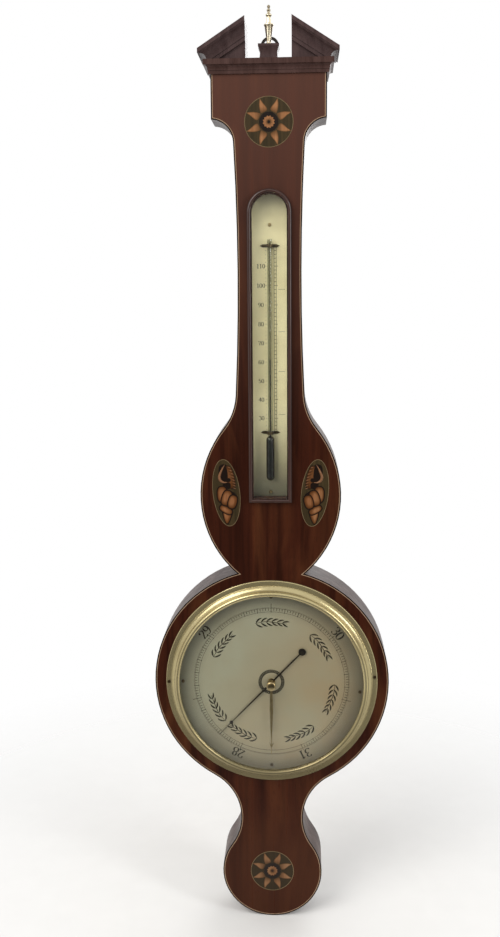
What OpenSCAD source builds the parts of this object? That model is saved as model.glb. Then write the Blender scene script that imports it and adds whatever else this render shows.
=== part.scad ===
// Wheel barometer in a banjo-shaped case, hung flat against a wall.
// The origin is the centre of the hanging eye, on the wall plane. +X is to the viewer's right,
// +Z is up and the front faces -Y. Inside the modules heights are taken from the dial centre,
// and depths are distances in front of the wall.

/* [Case outline] */
// Width of the wooden rim left round the bezel
body_rim = 12; // [8:0.5:18]
// Radius of the round foot
foot_r = 53.7; // [50:0.1:58]
// Drop from the dial centre to the centre of the foot
foot_drop = 219; // [212:1:226]
// Radius of the hollow waist between the dial body and the foot
waist_r = 56; // [48:1:66]
// Half width of the bulb above the dial
bulb_half = 71.6; // [66:0.1:78]
// Height of the widest part of the bulb
bulb_z = 200; // [190:1:210]
// Radius of each side of the bulb
bulb_r = 110; // [102:1:120]
// Radius of the hollow curve from the bulb into the neck
flare_r = 60; // [48:1:75]
// Half width of the neck at its narrowest
neck_half = 31.2; // [30:0.1:35]
// Height of the narrowest part of the neck
neck_z = 425; // [405:1:445]
// Radius of the long hollow side of the neck
neck_r = 2340; // [1900:10:3000]
// Radius of the cove under the head
cove_r = 22; // [16:0.5:26]
// Height of the corner under the head
shoulder_z = 567; // [562:1:572]
// Half width of the head
head_half = 55.2; // [51:0.1:58]
// Height of the top of the head
head_top = 607.5; // [602:0.5:616]

/* [Case build] */
// Depth of the case from the wall to its front face
case_d = 45; // [43:0.5:52]
// Thickness of the front veneer and of the dial plate let into it
veneer_t = 1.2; // [0.8:0.1:1.6]
// Width of the dark banding along the front edge
band_w = 1.2; // [0.9:0.1:2.5]
// Width of the light stringing inside the banding
string_w = 0.7; // [0.5:0.1:1.6]

/* [Inlay] */
// Radius of a round flower inlay
patera_r = 23.5; // [20:0.5:25]
// Height of the upper flower inlay
patera_z = 564; // [562:0.5:566]
// Width of the light border line round an inlay
border_w = 0.6; // [0.5:0.1:1.2]
// Petals in a flower, pointed and split by turns
petals = 8; // [6:2:8]
// Radius to the tip of a petal
petal_tip = 21; // [18.5:0.1:21.5]
// Half width of a pointed petal
petal_half = 3.6; // [3:0.1:3.8]
// Radius of the flower centre
flower_eye_r = 9.2; // [8:0.1:10]
// Distance of a shell inlay from the centre line
shell_x = 45; // [43:0.5:48]
// Height of the shell inlays
shell_z = 203; // [198:1:208]
// Half length of a shell inlay
shell_half_l = 35; // [31:0.5:38]
// Half width of a shell inlay
shell_half_w = 14; // [12.5:0.1:15]
// Outward lean of the shell inlays
shell_lean = 6; // [0:1:8]

/* [Pediment] */
// Height of the horizontal cornice
cornice_h = 13; // [11.5:0.5:17]
// Projection of the cornice at its top
cornice_p = 6.5; // [4.5:0.1:8]
// Projection of the raking crown moulding
crown_p = 11.2; // [9:0.1:12]
// Height of the crown moulding, square to its slope
crown_h = 17; // [15:0.5:19]
// Slope of the crown moulding
rake = 32; // [27:0.5:34]
// Half width of the break between the two crowns
break_half = 21.8; // [18:0.2:25]
// Height of the peak of the crowns above the top of the head
peak_rise = 49.5; // [46:0.5:52]
// Width and depth of the finial plinth
plinth_w = 20; // [17:0.5:23]
// Height of the finial plinth
plinth_h = 14.5; // [11:0.5:16]
// Height of the brass finial above its plinth
finial_h = 36.5; // [29:0.5:40]

/* [Thermometer] */
// Half width of the glazed thermometer frame
thermo_half = 22; // [20:0.5:24]
// Height of the bottom of the frame
thermo_lo = 193.5; // [188:0.5:198]
// Height of the top of the arched frame
thermo_top = 502.5; // [496:0.5:508]
// Width of the frame moulding
frame_w = 5; // [4:0.1:6]
// Projection of the frame moulding in front of the case
frame_t = 6.4; // [5.5:0.1:8]
// Thickness of the pane
pane_t = 2; // [1.5:0.1:2.5]
// Overlap of the frame on the edge of the pane
pane_lap = 1.2; // [0.8:0.1:1.6]
// Overlap of the frame on the edge of the recess and of the scale plate in it
recess_lap = 0.5; // [0.3:0.1:0.7]
// Depth of the thermometer recess behind the front
recess_depth = 12; // [11:0.5:14]
// Thickness of the scale plate
scale_t = 1.2; // [0.8:0.1:2]
// Radius of the thermometer stem
stem_r = 2.3; // [1.8:0.1:2.6]
// Radius of the thermometer bulb
stem_bulb_r = 4.4; // [3.6:0.1:4.6]
// Height of the top of the stem
stem_top = 455; // [448:1:462]
// Height of the foot of the bulb
stem_foot = 215; // [212:1:220]
// Length of the bulb
stem_bulb_l = 46; // [38:1:50]
// Height of the thermometer reading
stem_level = 338; // [290:1:420]
// Half length of a clip
clip_half = 10; // [8:0.5:12]
// Height of a clip
clip_h = 3; // [2:0.1:4]

/* [Dial and bezel] */
// Radius of the dial plate
dial_r = 101.6; // [100.5:0.1:103]
// Overlap of the bezel's wall on the edge of the dial plate
dial_lap = 2.9; // [2.4:0.1:3.4]
// Width of the bezel from its wall to its outer edge
bezel_w = 12.3; // [11:0.1:14]
// Width of the rim that laps over the edge of the glass
lip_w = 2.7; // [2.3:0.1:4]
// Thickness of the bezel flange
flange_t = 2.4; // [1.8:0.1:3]
// Height of the glass seat above the case front
seat_h = 9; // [8.4:0.1:11]
// Thickness of the dial glass
glass_t = 2; // [1.5:0.1:2.4]
// Radius of the rounded bezel rim
rim_r = 2.6; // [2.2:0.1:2.9]
// Distance of the bezel screws from the bezel's outer edge
bezel_screw_in = 2.8; // [2.5:0.1:3.1]
// Distance of the dial screws from the edge of the dial plate
dial_screw_in = 8.2; // [7.6:0.1:11]

/* [Hands] */
// Length of the indicator hand from its centre
hand_l = 81.5; // [70:0.5:84]
// Distance of the counterpoise from the centre
tail_l = 47; // [40:0.5:52]
// Radius of the counterpoise
tail_r = 3.9; // [3:0.1:4.5]
// Angle of the indicator hand at rest, anticlockwise from straight up
hand_rest = 136.6; // [0:0.1:360]
// Length of the set hand from its centre
set_l = 79; // [66:0.5:84]
// Radius of the set hand's knob
knob_r = 5; // [4:0.1:6.5]
// Radius of the set hand's arbor
set_arbor_r = 1.6; // [1.3:0.1:1.9]
// Thickness of both hands
hand_t = 0.8; // [0.6:0.1:1]

/* [Wheel work] */
// Radius of the hand arbor
arbor_r = 1; // [0.9:0.05:1.3]
// Radius of its rear pivot
pivot_r = 0.8; // [0.5:0.05:0.85]
// Radius at which the silk runs round the pulley
run_r = 7; // [6.5:0.1:7.5]
// Depth of the pulley groove
groove_h = 1.8; // [1.2:0.1:2]
// Width of the pulley
pulley_w = 5; // [4:0.2:6]
// Radius of the silk thread
silk_r = 0.25; // [0.2:0.05:0.3]
// Thickness of the pivot cock
cock_t = 2; // [1.5:0.1:3]
// Outer radius of the siphon tube
tube_r = 4.5; // [4:0.1:4.6]
// Wall of the siphon tube
tube_wall = 2; // [1.6:0.1:2]
// Outer radius of the counterweight's guide tube
guide_r = 3; // [2.9:0.1:3.2]
// Wall of the guide tube
guide_wall = 0.6; // [0.5:0.05:0.7]
// Height of the centre of the siphon's bend
bend_z = -236; // [-238:0.5:-230]
// Height of the sealed top of the siphon
tube_top = 577; // [560:1:578]
// Height of the open mouth of the short limb
mouth_z = -140; // [-146:1:-136]
// Height of the mercury in the short limb at rest
level_z = -190; // [-194:0.5:-186]
// Height of the mercury column over that level at rest
column_h = 716; // [700:1:740]
// Length of the float
float_l = 20; // [16:0.5:24]
// Length of the counterweight
weight_l = 12; // [9:0.5:14]
// Height of the foot of the counterweight at rest
weight_z = -118; // [-120:0.5:-114]
// Depth of the cradles that the tubes lie in
cradle_t = 10; // [9:0.5:11]

/* [Back] */
// Thickness of the wood between the back bay and the thermometer recess
web_t = 5; // [4:0.5:6]
// Room beside the tubes in the back bay
bay_gap = 5; // [4:0.5:5.5]
// Width of the ledges that carry the covers
ledge_w = 4.5; // [4:0.1:4.8]
// Thickness of the two fixed covers
cover_t = 3; // [2.5:0.1:3.5]
// Thickness of the hinged door
door_t = 5; // [4.4:0.1:5.5]
// Height of the bottom of the door
door_lo = -118; // [-122:0.5:-112]
// Height of the top of the door
door_hi = 66; // [58:0.5:74]
// Radius of a hinge knuckle
knuckle_r = 1.6; // [1.5:0.05:1.8]
// Radius of a hinge pin
pin_r = 0.8; // [0.6:0.05:0.9]
// Length of a hinge
hinge_l = 18; // [15:0.5:24]
// Width of a hinge leaf
leaf_w = 11; // [9:0.5:13]
// Thickness of a hinge leaf
leaf_t = 1.4; // [1.3:0.05:1.5]

/* [Hanging] */
// Radius of the hole in the hanging eye
eye_r = 6.5; // [5:0.5:7]
// Width of the metal round the eye
eye_rim = 2.6; // [2.2:0.1:4]
// Height of the eye's centre above the top of the head
eye_rise = 33.5; // [31:0.5:46]
// Thickness of the hanging plate
plate_t = 2.5; // [2.2:0.1:3]
// Width of the hanging plate
plate_w = 16; // [13:0.5:18]

/* [Fasteners and fits] */
// Radius of a small screw's head
head_r = 1.7; // [1.5:0.1:1.8]
// Thickness of a small screw's head
head_t = 0.8; // [0.6:0.05:0.9]
// Radius of a small screw's shank
shank_r = 0.9; // [0.7:0.05:1.1]
// Width of the slot in a screw's head
slot_w = 0.6; // [0.4:0.05:0.8]
// Length of a small screw
screw_l = 10; // [8:0.5:11]
// Play round a shaft that turns and round a piece let into another
fit = 0.05; // [0.03:0.01:0.08]
// Gap between pieces that move past each other
gap = 0.3; // [0.25:0.05:0.4]

/* [Hidden] */
$fn = 120;
// Facets of the long neck arc, which is a small part of a very large circle
neck_fn = 1440;
// Hair's breadth by which each hollow arc of the outline stands proud of the arc next to it
ease = 0.02;
// A length that reaches past any cut
past = 5;

mahogany = "saddlebrown";
dark_wood = "#3a2419";
box_wood = "burlywood";
brass = "goldenrod";
steel = "slategray";
quicksilver = "silver";
clear = "lightcyan";

// Circles of the dial and the bezel
seat_r = dial_r - dial_lap;
sight_r = seat_r - lip_w;
bezel_r = seat_r + bezel_w;
body_r = bezel_r + body_rim;
// The right-hand screws were set a little out of line, clear of older holes
dial_screw_at = [for (a = [-6, 90, 180, 270]) (dial_r - dial_screw_in) * [cos(a), sin(a)]];
bezel_screw_at = [for (a = [4, 180]) (bezel_r - bezel_screw_in) * [cos(a), sin(a)]];

// Places of the case
carcass_d = case_d - veneer_t;
recess_d = case_d - recess_depth;
floor_d = recess_d - web_t;
eye_z = head_top + eye_rise;
patera_at = [[0, patera_z], [0, -foot_drop]];
string_in = band_w + string_w;

// Drawing of the inlays. Each lobe of a shell is [across, along, half length, half width, turn],
// in shares of the inlay's half width and half length: the core, the mouth, then down to the tip.
petal_c = flower_eye_r / 2;
shell_lobes = [[-0.07, -0.34, 0.57, 0.25, 0], [-0.14, 0.5, 0.34, 0.58, 0],
    [0.31, -0.08, 0.25, 0.33, -16], [-0.18, -0.07, 0.33, 0.33, -6], [-0.58, -0.32, 0.2, 0.26, -16],
    [0, -0.52, 0.17, 0.26, -52], [-0.07, -0.7, 0.14, 0.2, -36], [-0.07, -0.84, 0.1, 0.13, -10]];

// Centres of the outline's arcs, on the right-hand side
waist_c = meet([0, 0], body_r + waist_r, [0, -foot_drop], foot_r + waist_r, 1);
bulb_c = [bulb_half - bulb_r, bulb_z];
neck_c = [neck_half + neck_r, neck_z];
flare_c = meet(neck_c, neck_r - flare_r, bulb_c, bulb_r + flare_r, -1);
cove_z = shoulder_z - cove_r;
cove_c = [neck_c.x - sqrt(pow(neck_r - cove_r, 2) - pow(cove_z - neck_z, 2)), cove_z];

// Places of the pediment
cornice_top = head_top + cornice_h;
peak_z = head_top + peak_rise;
plinth_d = case_d - plinth_w - 2;
finial_d = plinth_d + plinth_w / 2;

// Places of the thermometer
sight_half = thermo_half - frame_w;
recess_half = sight_half + recess_lap;
pane_half = sight_half + pane_lap;
arch_z = thermo_top - thermo_half;
sill_z = thermo_lo + thermo_half;
recess_lo = thermo_lo + frame_w - recess_lap;
scale_front = recess_d + scale_t;
stem_d = scale_front + stem_bulb_r + gap;
clip_at = [stem_foot + stem_bulb_l + clip_h, stem_top - 2 * clip_h];
pin_at = [thermo_lo + frame_w + 4, stem_top + 14];

// Places in front of the dial
seat_d = case_d + seat_h;
glass_d = seat_d - glass_t;
bush_r = set_arbor_r + 1.6;
bush_rim_t = 0.6;
collet_d = case_d + 1;
hand_d = collet_d + 0.6;
collet_r = arbor_r + 1.2;
bush_hole_r = arbor_r + 3 + fit;
collet_front = hand_d + hand_t + 0.8;
arbor_front = collet_front + 0.3;
set_flange_d = arbor_front + gap;
set_flange_t = 0.7;
set_d = set_flange_d + set_flange_t + fit;
knob_d = seat_d + bush_rim_t + gap;
knob_l = 5.5;

// Places of the wheel work
tube_d = floor_d - cradle_t;
flange_r = run_r - silk_r + groove_h - fit;
cock_front = tube_d - pulley_w / 2 - 4.5;
cock_d = cock_front - cock_t;
cock_half = 6;
cock_post_lo = flange_r + 4;
cock_post_hi = cock_post_lo + 11;
short_x = run_r;
long_x = -(run_r + guide_r + 1 + tube_r);
bend_x = (short_x + long_x) / 2;
bend_r = (short_x - long_x) / 2;
bore_r = tube_r - tube_wall;
silk_top = -2.8;
float_z = level_z + gap;
guide_lo = weight_z - 8;
guide_hi = weight_z + weight_l + 42;

// Places of the back
bay_l = long_x - tube_r - bay_gap;
bay_r = short_x + tube_r + bay_gap;
bay_lo = bend_z - bend_r - tube_r - 4.2;
bay_hi = door_hi - ledge_w;
slot_gap = 2;
slot_l = long_x - tube_r - slot_gap;
slot_r = long_x + tube_r + slot_gap;
slot_hi = tube_top + 3;
rebate_l = bay_l - ledge_w;
rebate_r = bay_r + ledge_w;
rebate_lo = bay_lo - ledge_w;
cover_l = slot_l - ledge_w;
cover_r = slot_r + ledge_w;
cover_hi = slot_hi + ledge_w;
hinge_x = rebate_l + knuckle_r + 2 * gap;
door_l = hinge_x + gap;
hinge_at = [door_lo + 26, door_hi - 26 - hinge_l];
plate_lo = cover_hi + 2;
cradle_h = 12;
slot_cradles = [door_hi + 54, (door_hi + tube_top) / 2, tube_top - 38];
weight_cradle = guide_lo + 8;
// The block by the guide tube stops short of the float's silk
silk_side = -run_r + guide_r + 2;
siphon_cradle = mouth_z - 16;

// Screws through the back: [x, height], with the depth that their seats lie at
cover_screws = [for (x = [cover_l + ledge_w / 2, cover_r - ledge_w / 2])
    for (z = [door_hi + 8, (door_hi + cover_hi) / 2, cover_hi - 9]) [x, z]];
foot_screws = [for (x = [rebate_l + ledge_w / 2, rebate_r - ledge_w / 2])
    for (z = [door_lo - 9, bay_lo + 14]) [x, z]];
plate_screws = [for (z = [plate_lo + 5, head_top - 5, cornice_top - 6]) [0, z]];
leaf_screws = [for (z = hinge_at) for (k = [0.22, 0.78]) [rebate_l - leaf_w / 2, z + hinge_l * k]];
door_leaf_l = hinge_x + knuckle_r + gap;
door_screw_l = door_t - 1;
door_leaf_screws = [for (z = hinge_at) for (k = [0.22, 0.78])
    [door_leaf_l + leaf_w / 2, z + hinge_l * k]];
cock_screw = [0, (cock_post_lo + cock_post_hi) / 2];

// One of the two points that lie ra from a and rb from b
function meet(a, ra, b, rb, side) =
    let (d = norm(b - a), u = (b - a) / d, along = (ra * ra - rb * rb + d * d) / (2 * d))
    a + along * u + side * sqrt(ra * ra - along * along) * [-u.y, u.x];
function flip(p) = [-p.x, p.y];
// Height at which the line through two points crosses the centre line
function axis_z(a, b) = a.y - a.x * (b.y - a.y) / (b.x - a.x);
// Radius of the circles whose overlap is a pointed oval
function lens_r(half_l, half_w) = (half_l * half_l + half_w * half_w) / (2 * half_w);
function arc(c, r, from, to, steps) =
    [for (k = [0 : steps]) let (a = from + (to - from) * k / steps) c + r * [cos(a), sin(a)]];
// Height of the crown's top edge at a distance from the centre line
function rake_z(x) = peak_z - (x - break_half) * tan(rake);
// Crown moulding section: [projection, height down from the top edge], from the bottom up
function crown_section() =
    let (hollow = crown_p - 3.2)
    concat([[0, -crown_h], [2.4, -crown_h], [2.4, -crown_h + 3.4], [3.2, -crown_h + 3.4]],
        arc([3.2 + hollow, -crown_h + 4.6], hollow, 180, 104, 8),
        [[crown_p - 1, -3.4], [crown_p, -3.4], [crown_p, 0]]);
// Cornice section: [projection, height above the head], from the bottom up
function cornice_section() =
    let (hollow = cornice_p - 3)
    concat([[2, 0], [2, 3.2], [2.6, 3.2]],
        arc([2.6 + hollow, cornice_h - 5 - hollow], hollow, 180, 96, 8),
        [[cornice_p, cornice_h - 5], [cornice_p, cornice_h]]);

module at_dial() { translate([0, 0, -eye_z]) children(); }
module both(p) { for (q = [p, flip(p)]) translate(q) children(); }
module sides() { children(); mirror([1, 0, 0]) children(); }
// A flat outline seen from the front, thickened from one depth forwards
module slab(back, thick) { translate([0, -back, 0]) rotate([90, 0, 0]) linear_extrude(thick) children(); }
// A round bar running from the wall side forwards
module rod(p, back, front, r) {
    translate([p.x, -back, p.y]) rotate([90, 0, 0]) cylinder(r = r, h = front - back);
}
// A turned piece on the dial's axis, drawn as [radius, depth]
module turned() { rotate([90, 0, 0]) rotate_extrude() children(); }
module upright(x, d, lo, hi, r) { translate([x, -d, lo]) cylinder(r = r, h = hi - lo); }
module block(left, right, back, front, lo, hi) {
    translate([left, -front, lo]) cube([right - left, front - back, hi - lo]);
}
module pointed_oval(half_l, half_w) {
    r = lens_r(half_l, half_w);
    intersection() {
        translate([r - half_w, 0]) circle(r = r);
        translate([half_w - r, 0]) circle(r = r);
    }
}

// The banjo outline as a slab, drawn in by an inset. Each arc meets its neighbours on the line
// through both centres, so an inset keeps every join smooth.
module outline(inset, back, thick) {
    neck_lo = [0, axis_z(neck_c, flare_c)];
    neck_hi = [0, axis_z(neck_c, cove_c)];
    bulb_hi = [0, axis_z(bulb_c, flare_c)];
    waist = [[0, 0], waist_c, [0, -foot_drop], flip(waist_c)];
    wide = head_half + cove_r;
    slab(back, thick) difference() {
        circle(r = body_r - inset);
        polygon(waist);
    }
    slab(back, thick) difference() {
        translate([0, -foot_drop]) circle(r = foot_r - inset);
        polygon(waist);
    }
    slab(back, thick) difference() {
        polygon(waist);
        both(waist_c) circle(r = waist_r + inset - ease);
    }
    slab(back, thick) difference() {
        intersection() {
            translate(bulb_c) circle(r = bulb_r - inset);
            translate(flip(bulb_c)) circle(r = bulb_r - inset);
        }
        polygon([bulb_hi, flare_c, [0, head_top], flip(flare_c)]);
    }
    slab(back, thick) difference() {
        polygon([neck_lo, flare_c, bulb_hi, flip(flare_c)]);
        both(flare_c) circle(r = flare_r + inset - ease);
    }
    slab(back, thick) difference() {
        polygon([neck_hi, cove_c, flare_c, neck_lo, flip(flare_c), flip(cove_c)]);
        both(neck_c) circle(r = neck_r + inset - 2 * ease, $fn = neck_fn);
    }
    slab(back, thick) difference() {
        intersection() {
            polygon([neck_hi, cove_c, [wide, cove_z], [wide, head_top],
                [-wide, head_top], [-wide, cove_z], flip(cove_c)]);
            translate([inset - head_half, 0]) square([2 * (head_half - inset), head_top]);
        }
        both(cove_c) circle(r = cove_r + inset - ease);
    }
}

// An upright slab with a round head, as the thermometer frame, pane, plate and recess have
module arched(half, lo, back, thick) {
    slab(back, thick) translate([-half, lo]) square([2 * half, arch_z - lo]);
    slab(back, thick) translate([0, arch_z]) difference() {
        circle(r = half);
        translate([-half, -2 * half]) square(2 * half);
    }
}

// A screw's head from its seat to its face, with a slot in the face
module screw_head(p, seat, face) difference() {
    deep = abs(face - seat) / 2;
    rod(p, min(seat, face), max(seat, face), head_r);
    block(p.x - 2 * head_r, p.x + 2 * head_r, face - deep, face + deep, p.y - slot_w / 2, p.y + slot_w / 2);
}

// A small screw driven from the back, with its head let in behind a seat
module back_screw(p, seat) {
    screw_head(p, seat, seat - head_t);
    rod(p, seat, seat + screw_l, shank_r);
}
module back_screw_hole(p, seat) {
    rod(p, -past, seat, head_r + fit);
    rod(p, 0, seat + screw_l + fit, shank_r + fit);
}

// Case

module case_carcass() color(mahogany) at_dial() difference() {
    outline(0, 0, carcass_d);
    arched(recess_half, recess_lo, recess_d, case_d);
    block(bay_l, bay_r, -past, floor_d, bay_lo, bay_hi);
    block(slot_l, slot_r, -past, floor_d, bay_hi - past, slot_hi);
    block(rebate_l, rebate_r, -past, door_t + gap, door_lo, door_hi);
    block(rebate_l, rebate_r, -past, cover_t, rebate_lo, door_lo + 1);
    block(cover_l, cover_r, -past, cover_t, door_hi - 1, cover_hi);
    for (z = hinge_at)
        block(rebate_l - leaf_w - fit, rebate_l + 1, -past, leaf_t, z - fit, z + hinge_l + fit);
    rod([rebate_r, (door_lo + door_hi) / 2], -past, door_t + gap, 8);
    block(-plate_w / 2 - fit, plate_w / 2 + fit, -past, plate_t, plate_lo - fit, head_top + past);
    rod([0, 0], 0, case_d, bush_hole_r);
    for (p = concat(cover_screws, foot_screws)) back_screw_hole(p, cover_t - head_t);
    for (p = plate_screws) back_screw_hole(p, plate_t - 1);
    for (p = leaf_screws) back_screw_hole(p, head_t);
    rod(cock_screw, floor_d - 1, floor_d + 6, shank_r + fit);
    for (z = pin_at) rod([0, z], recess_d - 4, recess_d + 1, shank_r + fit);
    dial_screw_holes();
    bezel_screw_holes();
}

module dial_screw_holes() {
    for (p = dial_screw_at) rod(p, case_d - screw_l, case_d + 1, shank_r + fit);
}
module bezel_screw_holes() {
    for (p = bezel_screw_at) rod(p, case_d - screw_l, case_d + flange_t + 1, shank_r + fit);
}

module front_veneer() color(mahogany) at_dial() difference() {
    outline(string_in + fit, carcass_d, veneer_t);
    rod([0, 0], carcass_d - 1, case_d + 1, dial_r + fit);
    arched(recess_half, recess_lo, carcass_d - 1, past);
    for (p = patera_at) rod(p, carcass_d - 1, case_d + 1, patera_r + fit);
    shells(carcass_d - 1, past) oval(shell_half_l + fit, shell_half_w + fit);
    bezel_screw_holes();
}

module edge_banding() color(dark_wood) at_dial() difference() {
    outline(0, carcass_d, veneer_t);
    outline(band_w, carcass_d - 1, past);
}

module edge_stringing() color(box_wood) at_dial() difference() {
    outline(band_w + fit, carcass_d, veneer_t);
    outline(string_in, carcass_d - 1, past);
}

// Inlay

// Places a flat shape on both shell inlays, as a mirrored pair
module shells(back, thick) {
    slab(back, thick) translate([shell_x, shell_z]) rotate(-shell_lean) children();
    slab(back, thick) translate([-shell_x, shell_z]) rotate(shell_lean) mirror([1, 0]) children();
}

module oval(half_l, half_w) scale([half_w, half_l]) circle(r = 1);

// One petal, turned about the middle of its flower
module petal(p, turn, tip, half, grow, back, thick) slab(back, thick) translate(p) rotate(turn)
    translate([0, petal_c]) pointed_oval(tip - petal_c + grow, half + grow);

// Petals round a flower. A split petal has a narrow middle and a shorter tooth on each side of it.
module petal_ring(p, grow, back, thick) difference() {
    for (k = [0 : petals - 1]) {
        turn = (k + 0.5) * 360 / petals;
        split = k % 2 == 0;
        petal(p, turn, petal_tip, petal_half * (split ? 0.55 : 1), grow, back, thick);
        if (split) for (s = [-1, 1])
            petal(p, turn + 11 * s, petal_tip * 0.86, petal_half * 0.5, grow, back, thick);
    }
    rod(p, back - 1, back + thick + 1, flower_eye_r + 0.4 - grow);
}

// Lobes of both shells, from the mouth at the top to the tip
module whorl_stack(grow, back, thick)
    for (q = shell_lobes) shells(back, thick)
        translate([q[0] * shell_half_w, q[1] * shell_half_l]) rotate(q[4])
            pointed_oval(q[2] * shell_half_l + grow, q[3] * shell_half_w + grow);

module inlay_grounds() color("darkolivegreen") at_dial() {
    for (p = patera_at) difference() {
        rod(p, carcass_d, case_d, patera_r - border_w - fit);
        rod(p, carcass_d - 1, case_d + 1, flower_eye_r + fit);
        petal_ring(p, fit, carcass_d - 1, past);
    }
    difference() {
        shells(carcass_d, veneer_t)
            oval(shell_half_l - border_w - fit, shell_half_w - border_w - fit);
        whorl_stack(fit, carcass_d - 1, past);
    }
}

module inlay_borders() color(box_wood) at_dial() {
    for (p = patera_at) difference() {
        rod(p, carcass_d, case_d, patera_r);
        rod(p, carcass_d - 1, case_d + 1, patera_r - border_w);
    }
    difference() {
        shells(carcass_d, veneer_t) oval(shell_half_l, shell_half_w);
        shells(carcass_d - 1, past) oval(shell_half_l - border_w, shell_half_w - border_w);
    }
}

module flower_petals() color("peru") at_dial()
    for (p = patera_at) petal_ring(p, 0, carcass_d, veneer_t);

module flower_centres() color("wheat") at_dial()
    for (p = patera_at) rod(p, carcass_d, case_d, flower_eye_r);

module shell_whorls() color("tan") at_dial() whorl_stack(0, carcass_d, veneer_t);

// Pediment

module cornice() color(dark_wood) at_dial() difference() {
    front = cornice_section();
    intersection() {
        slab(0, case_d + cornice_p) polygon(concat(
            [for (q = front) [head_half + q.x, head_top + q.y]],
            [for (k = [len(front) - 1 : -1 : 0]) [-head_half - front[k].x, head_top + front[k].y]]));
        translate([-2 * head_half, 0, head_top]) rotate([90, 0, 90]) linear_extrude(4 * head_half)
            polygon(concat([[0, 0]], [for (q = front) [-case_d - q.x, q.y]], [[0, cornice_h]]));
    }
    block(-plate_w / 2 - fit, plate_w / 2 + fit, -past, plate_t, head_top - 1, cornice_top + 1);
    for (p = plate_screws) back_screw_hole(p, plate_t - 1);
}

// The solid core behind one crown moulding
module tympanum() slab(0, case_d) polygon([[break_half, cornice_top], [head_half, cornice_top],
    [head_half, rake_z(head_half)], [break_half, peak_z]]);

// The right-hand crown: a moulding along the slope that turns the corner and runs back to the wall.
// The return's section is the sloping one sheared, so that both meet on the mitre.
module crown() difference() {
    section = crown_section();
    long = 2 * head_half;
    intersection() {
        translate([break_half, 0, peak_z]) rotate([0, rake, 0]) rotate([90, 0, -90])
            translate([0, 0, -long]) linear_extrude(2 * long) polygon(concat(
                [[-past, -crown_h]], [for (q = section) [case_d + q.x, q.y]], [[-past, 0]]));
        slab(0, case_d + crown_p) intersection() {
            translate([break_half, cornice_top]) square(long);
            polygon(concat([[break_half, cornice_top - long]],
                [for (q = section) [head_half + q.x, rake_z(head_half + q.x) + q.y / cos(rake)]],
                [[head_half + crown_p, peak_z + past], [break_half, peak_z + past]]));
        }
    }
    translate([0, past, 0]) slab(0, case_d + past)
        polygon([[0, 0], [head_half, 0], [head_half, peak_z + past], [0, peak_z + past]]);
}

module right_tympanum() color(dark_wood) at_dial() tympanum();
module left_tympanum() color(dark_wood) at_dial() mirror([1, 0, 0]) tympanum();
module right_crown() color(dark_wood) at_dial() crown();
module left_crown() color(dark_wood) at_dial() mirror([1, 0, 0]) crown();

module finial_plinth() color(dark_wood) at_dial() difference() {
    hollow_r = plinth_h;
    hollow_at = plinth_w / 2 + hollow_r - 1.8;
    block(-plinth_w / 2, plinth_w / 2, plinth_d, plinth_d + plinth_w, cornice_top, cornice_top + plinth_h);
    for (s = [-1, 1]) {
        rod([s * hollow_at, cornice_top + plinth_h * 0.38], plinth_d - 1, plinth_d + plinth_w + 1, hollow_r);
        translate([-plinth_w, -finial_d + s * hollow_at, cornice_top + plinth_h * 0.38])
            rotate([0, 90, 0]) cylinder(r = hollow_r, h = 2 * plinth_w);
    }
    translate([0, -finial_d, cornice_top + plinth_h - 6]) cylinder(r = shank_r + fit, h = 12);
}

// Turned finial, drawn as [radius, height]: foot, tapered body, collar, neck, bead and tip
module brass_finial() color(brass) at_dial() translate([0, -finial_d, cornice_top + plinth_h]) {
    h = finial_h;
    rotate_extrude() polygon(concat(
        [[0, 0], [3.4, 0], [3.4, 0.02 * h], [2.2, 0.07 * h], [2.1, 0.1 * h]],
        [[3.8, 0.44 * h], [4.1, 0.47 * h]],
        arc([3.6, 0.5 * h], 0.03 * h, -60, 90, 5),
        [[2.7, 0.55 * h], [2, 0.66 * h], [1.8, 0.7 * h]],
        [[2.9, 0.73 * h], [2.9, 0.755 * h], [1.3, 0.79 * h]],
        arc([0.6, 0.86 * h], 0.036 * h, -50, 70, 6),
        arc([0.3, 0.95 * h], 0.036 * h, -60, 60, 5),
        [[0, h]]));
    translate([0, 0, -5.5]) cylinder(r = shank_r, h = 6);
}

// Thermometer

// Section of the frame moulding as [distance from the frame's middle, depth]: a bead between fillets
module frame_section() {
    bead_r = frame_w * 0.34;
    bead_at = [sight_half + frame_w * 0.55, case_d + frame_t - bead_r];
    difference() {
        union() {
            translate([sight_half, case_d]) square([frame_w, frame_t * 0.5]);
            translate([sight_half, case_d]) square([frame_w * 0.12, frame_t * 0.68]);
            translate([bead_at.x - bead_r, case_d]) square([2 * bead_r, frame_t - bead_r]);
            translate(bead_at) circle(r = bead_r);
        }
        translate([sight_half - 1, case_d - 1]) square([pane_half + fit - sight_half + 1, pane_t + 1 + fit]);
    }
}

module thermo_frame() color(dark_wood) at_dial() {
    mitre = [[thermo_half, thermo_lo], [0, sill_z], [0, arch_z], [thermo_half, arch_z]];
    sides() intersection() {
        translate([0, 0, thermo_lo]) linear_extrude(arch_z - thermo_lo) mirror([0, 1]) frame_section();
        slab(0, 2 * case_d) polygon(mitre);
    }
    intersection() {
        translate([-thermo_half, 0, sill_z]) rotate([90, 0, 90]) linear_extrude(2 * thermo_half)
            mirror([1, 1]) frame_section();
        slab(0, 2 * case_d) polygon([[-thermo_half, thermo_lo], [thermo_half, thermo_lo], [0, sill_z]]);
    }
    translate([0, 0, arch_z]) rotate([90, 0, 0]) rotate_extrude(angle = 180) frame_section();
}

module thermo_glass() color(clear) at_dial()
    arched(pane_half, thermo_lo + frame_w - pane_lap, case_d, pane_t);

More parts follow.
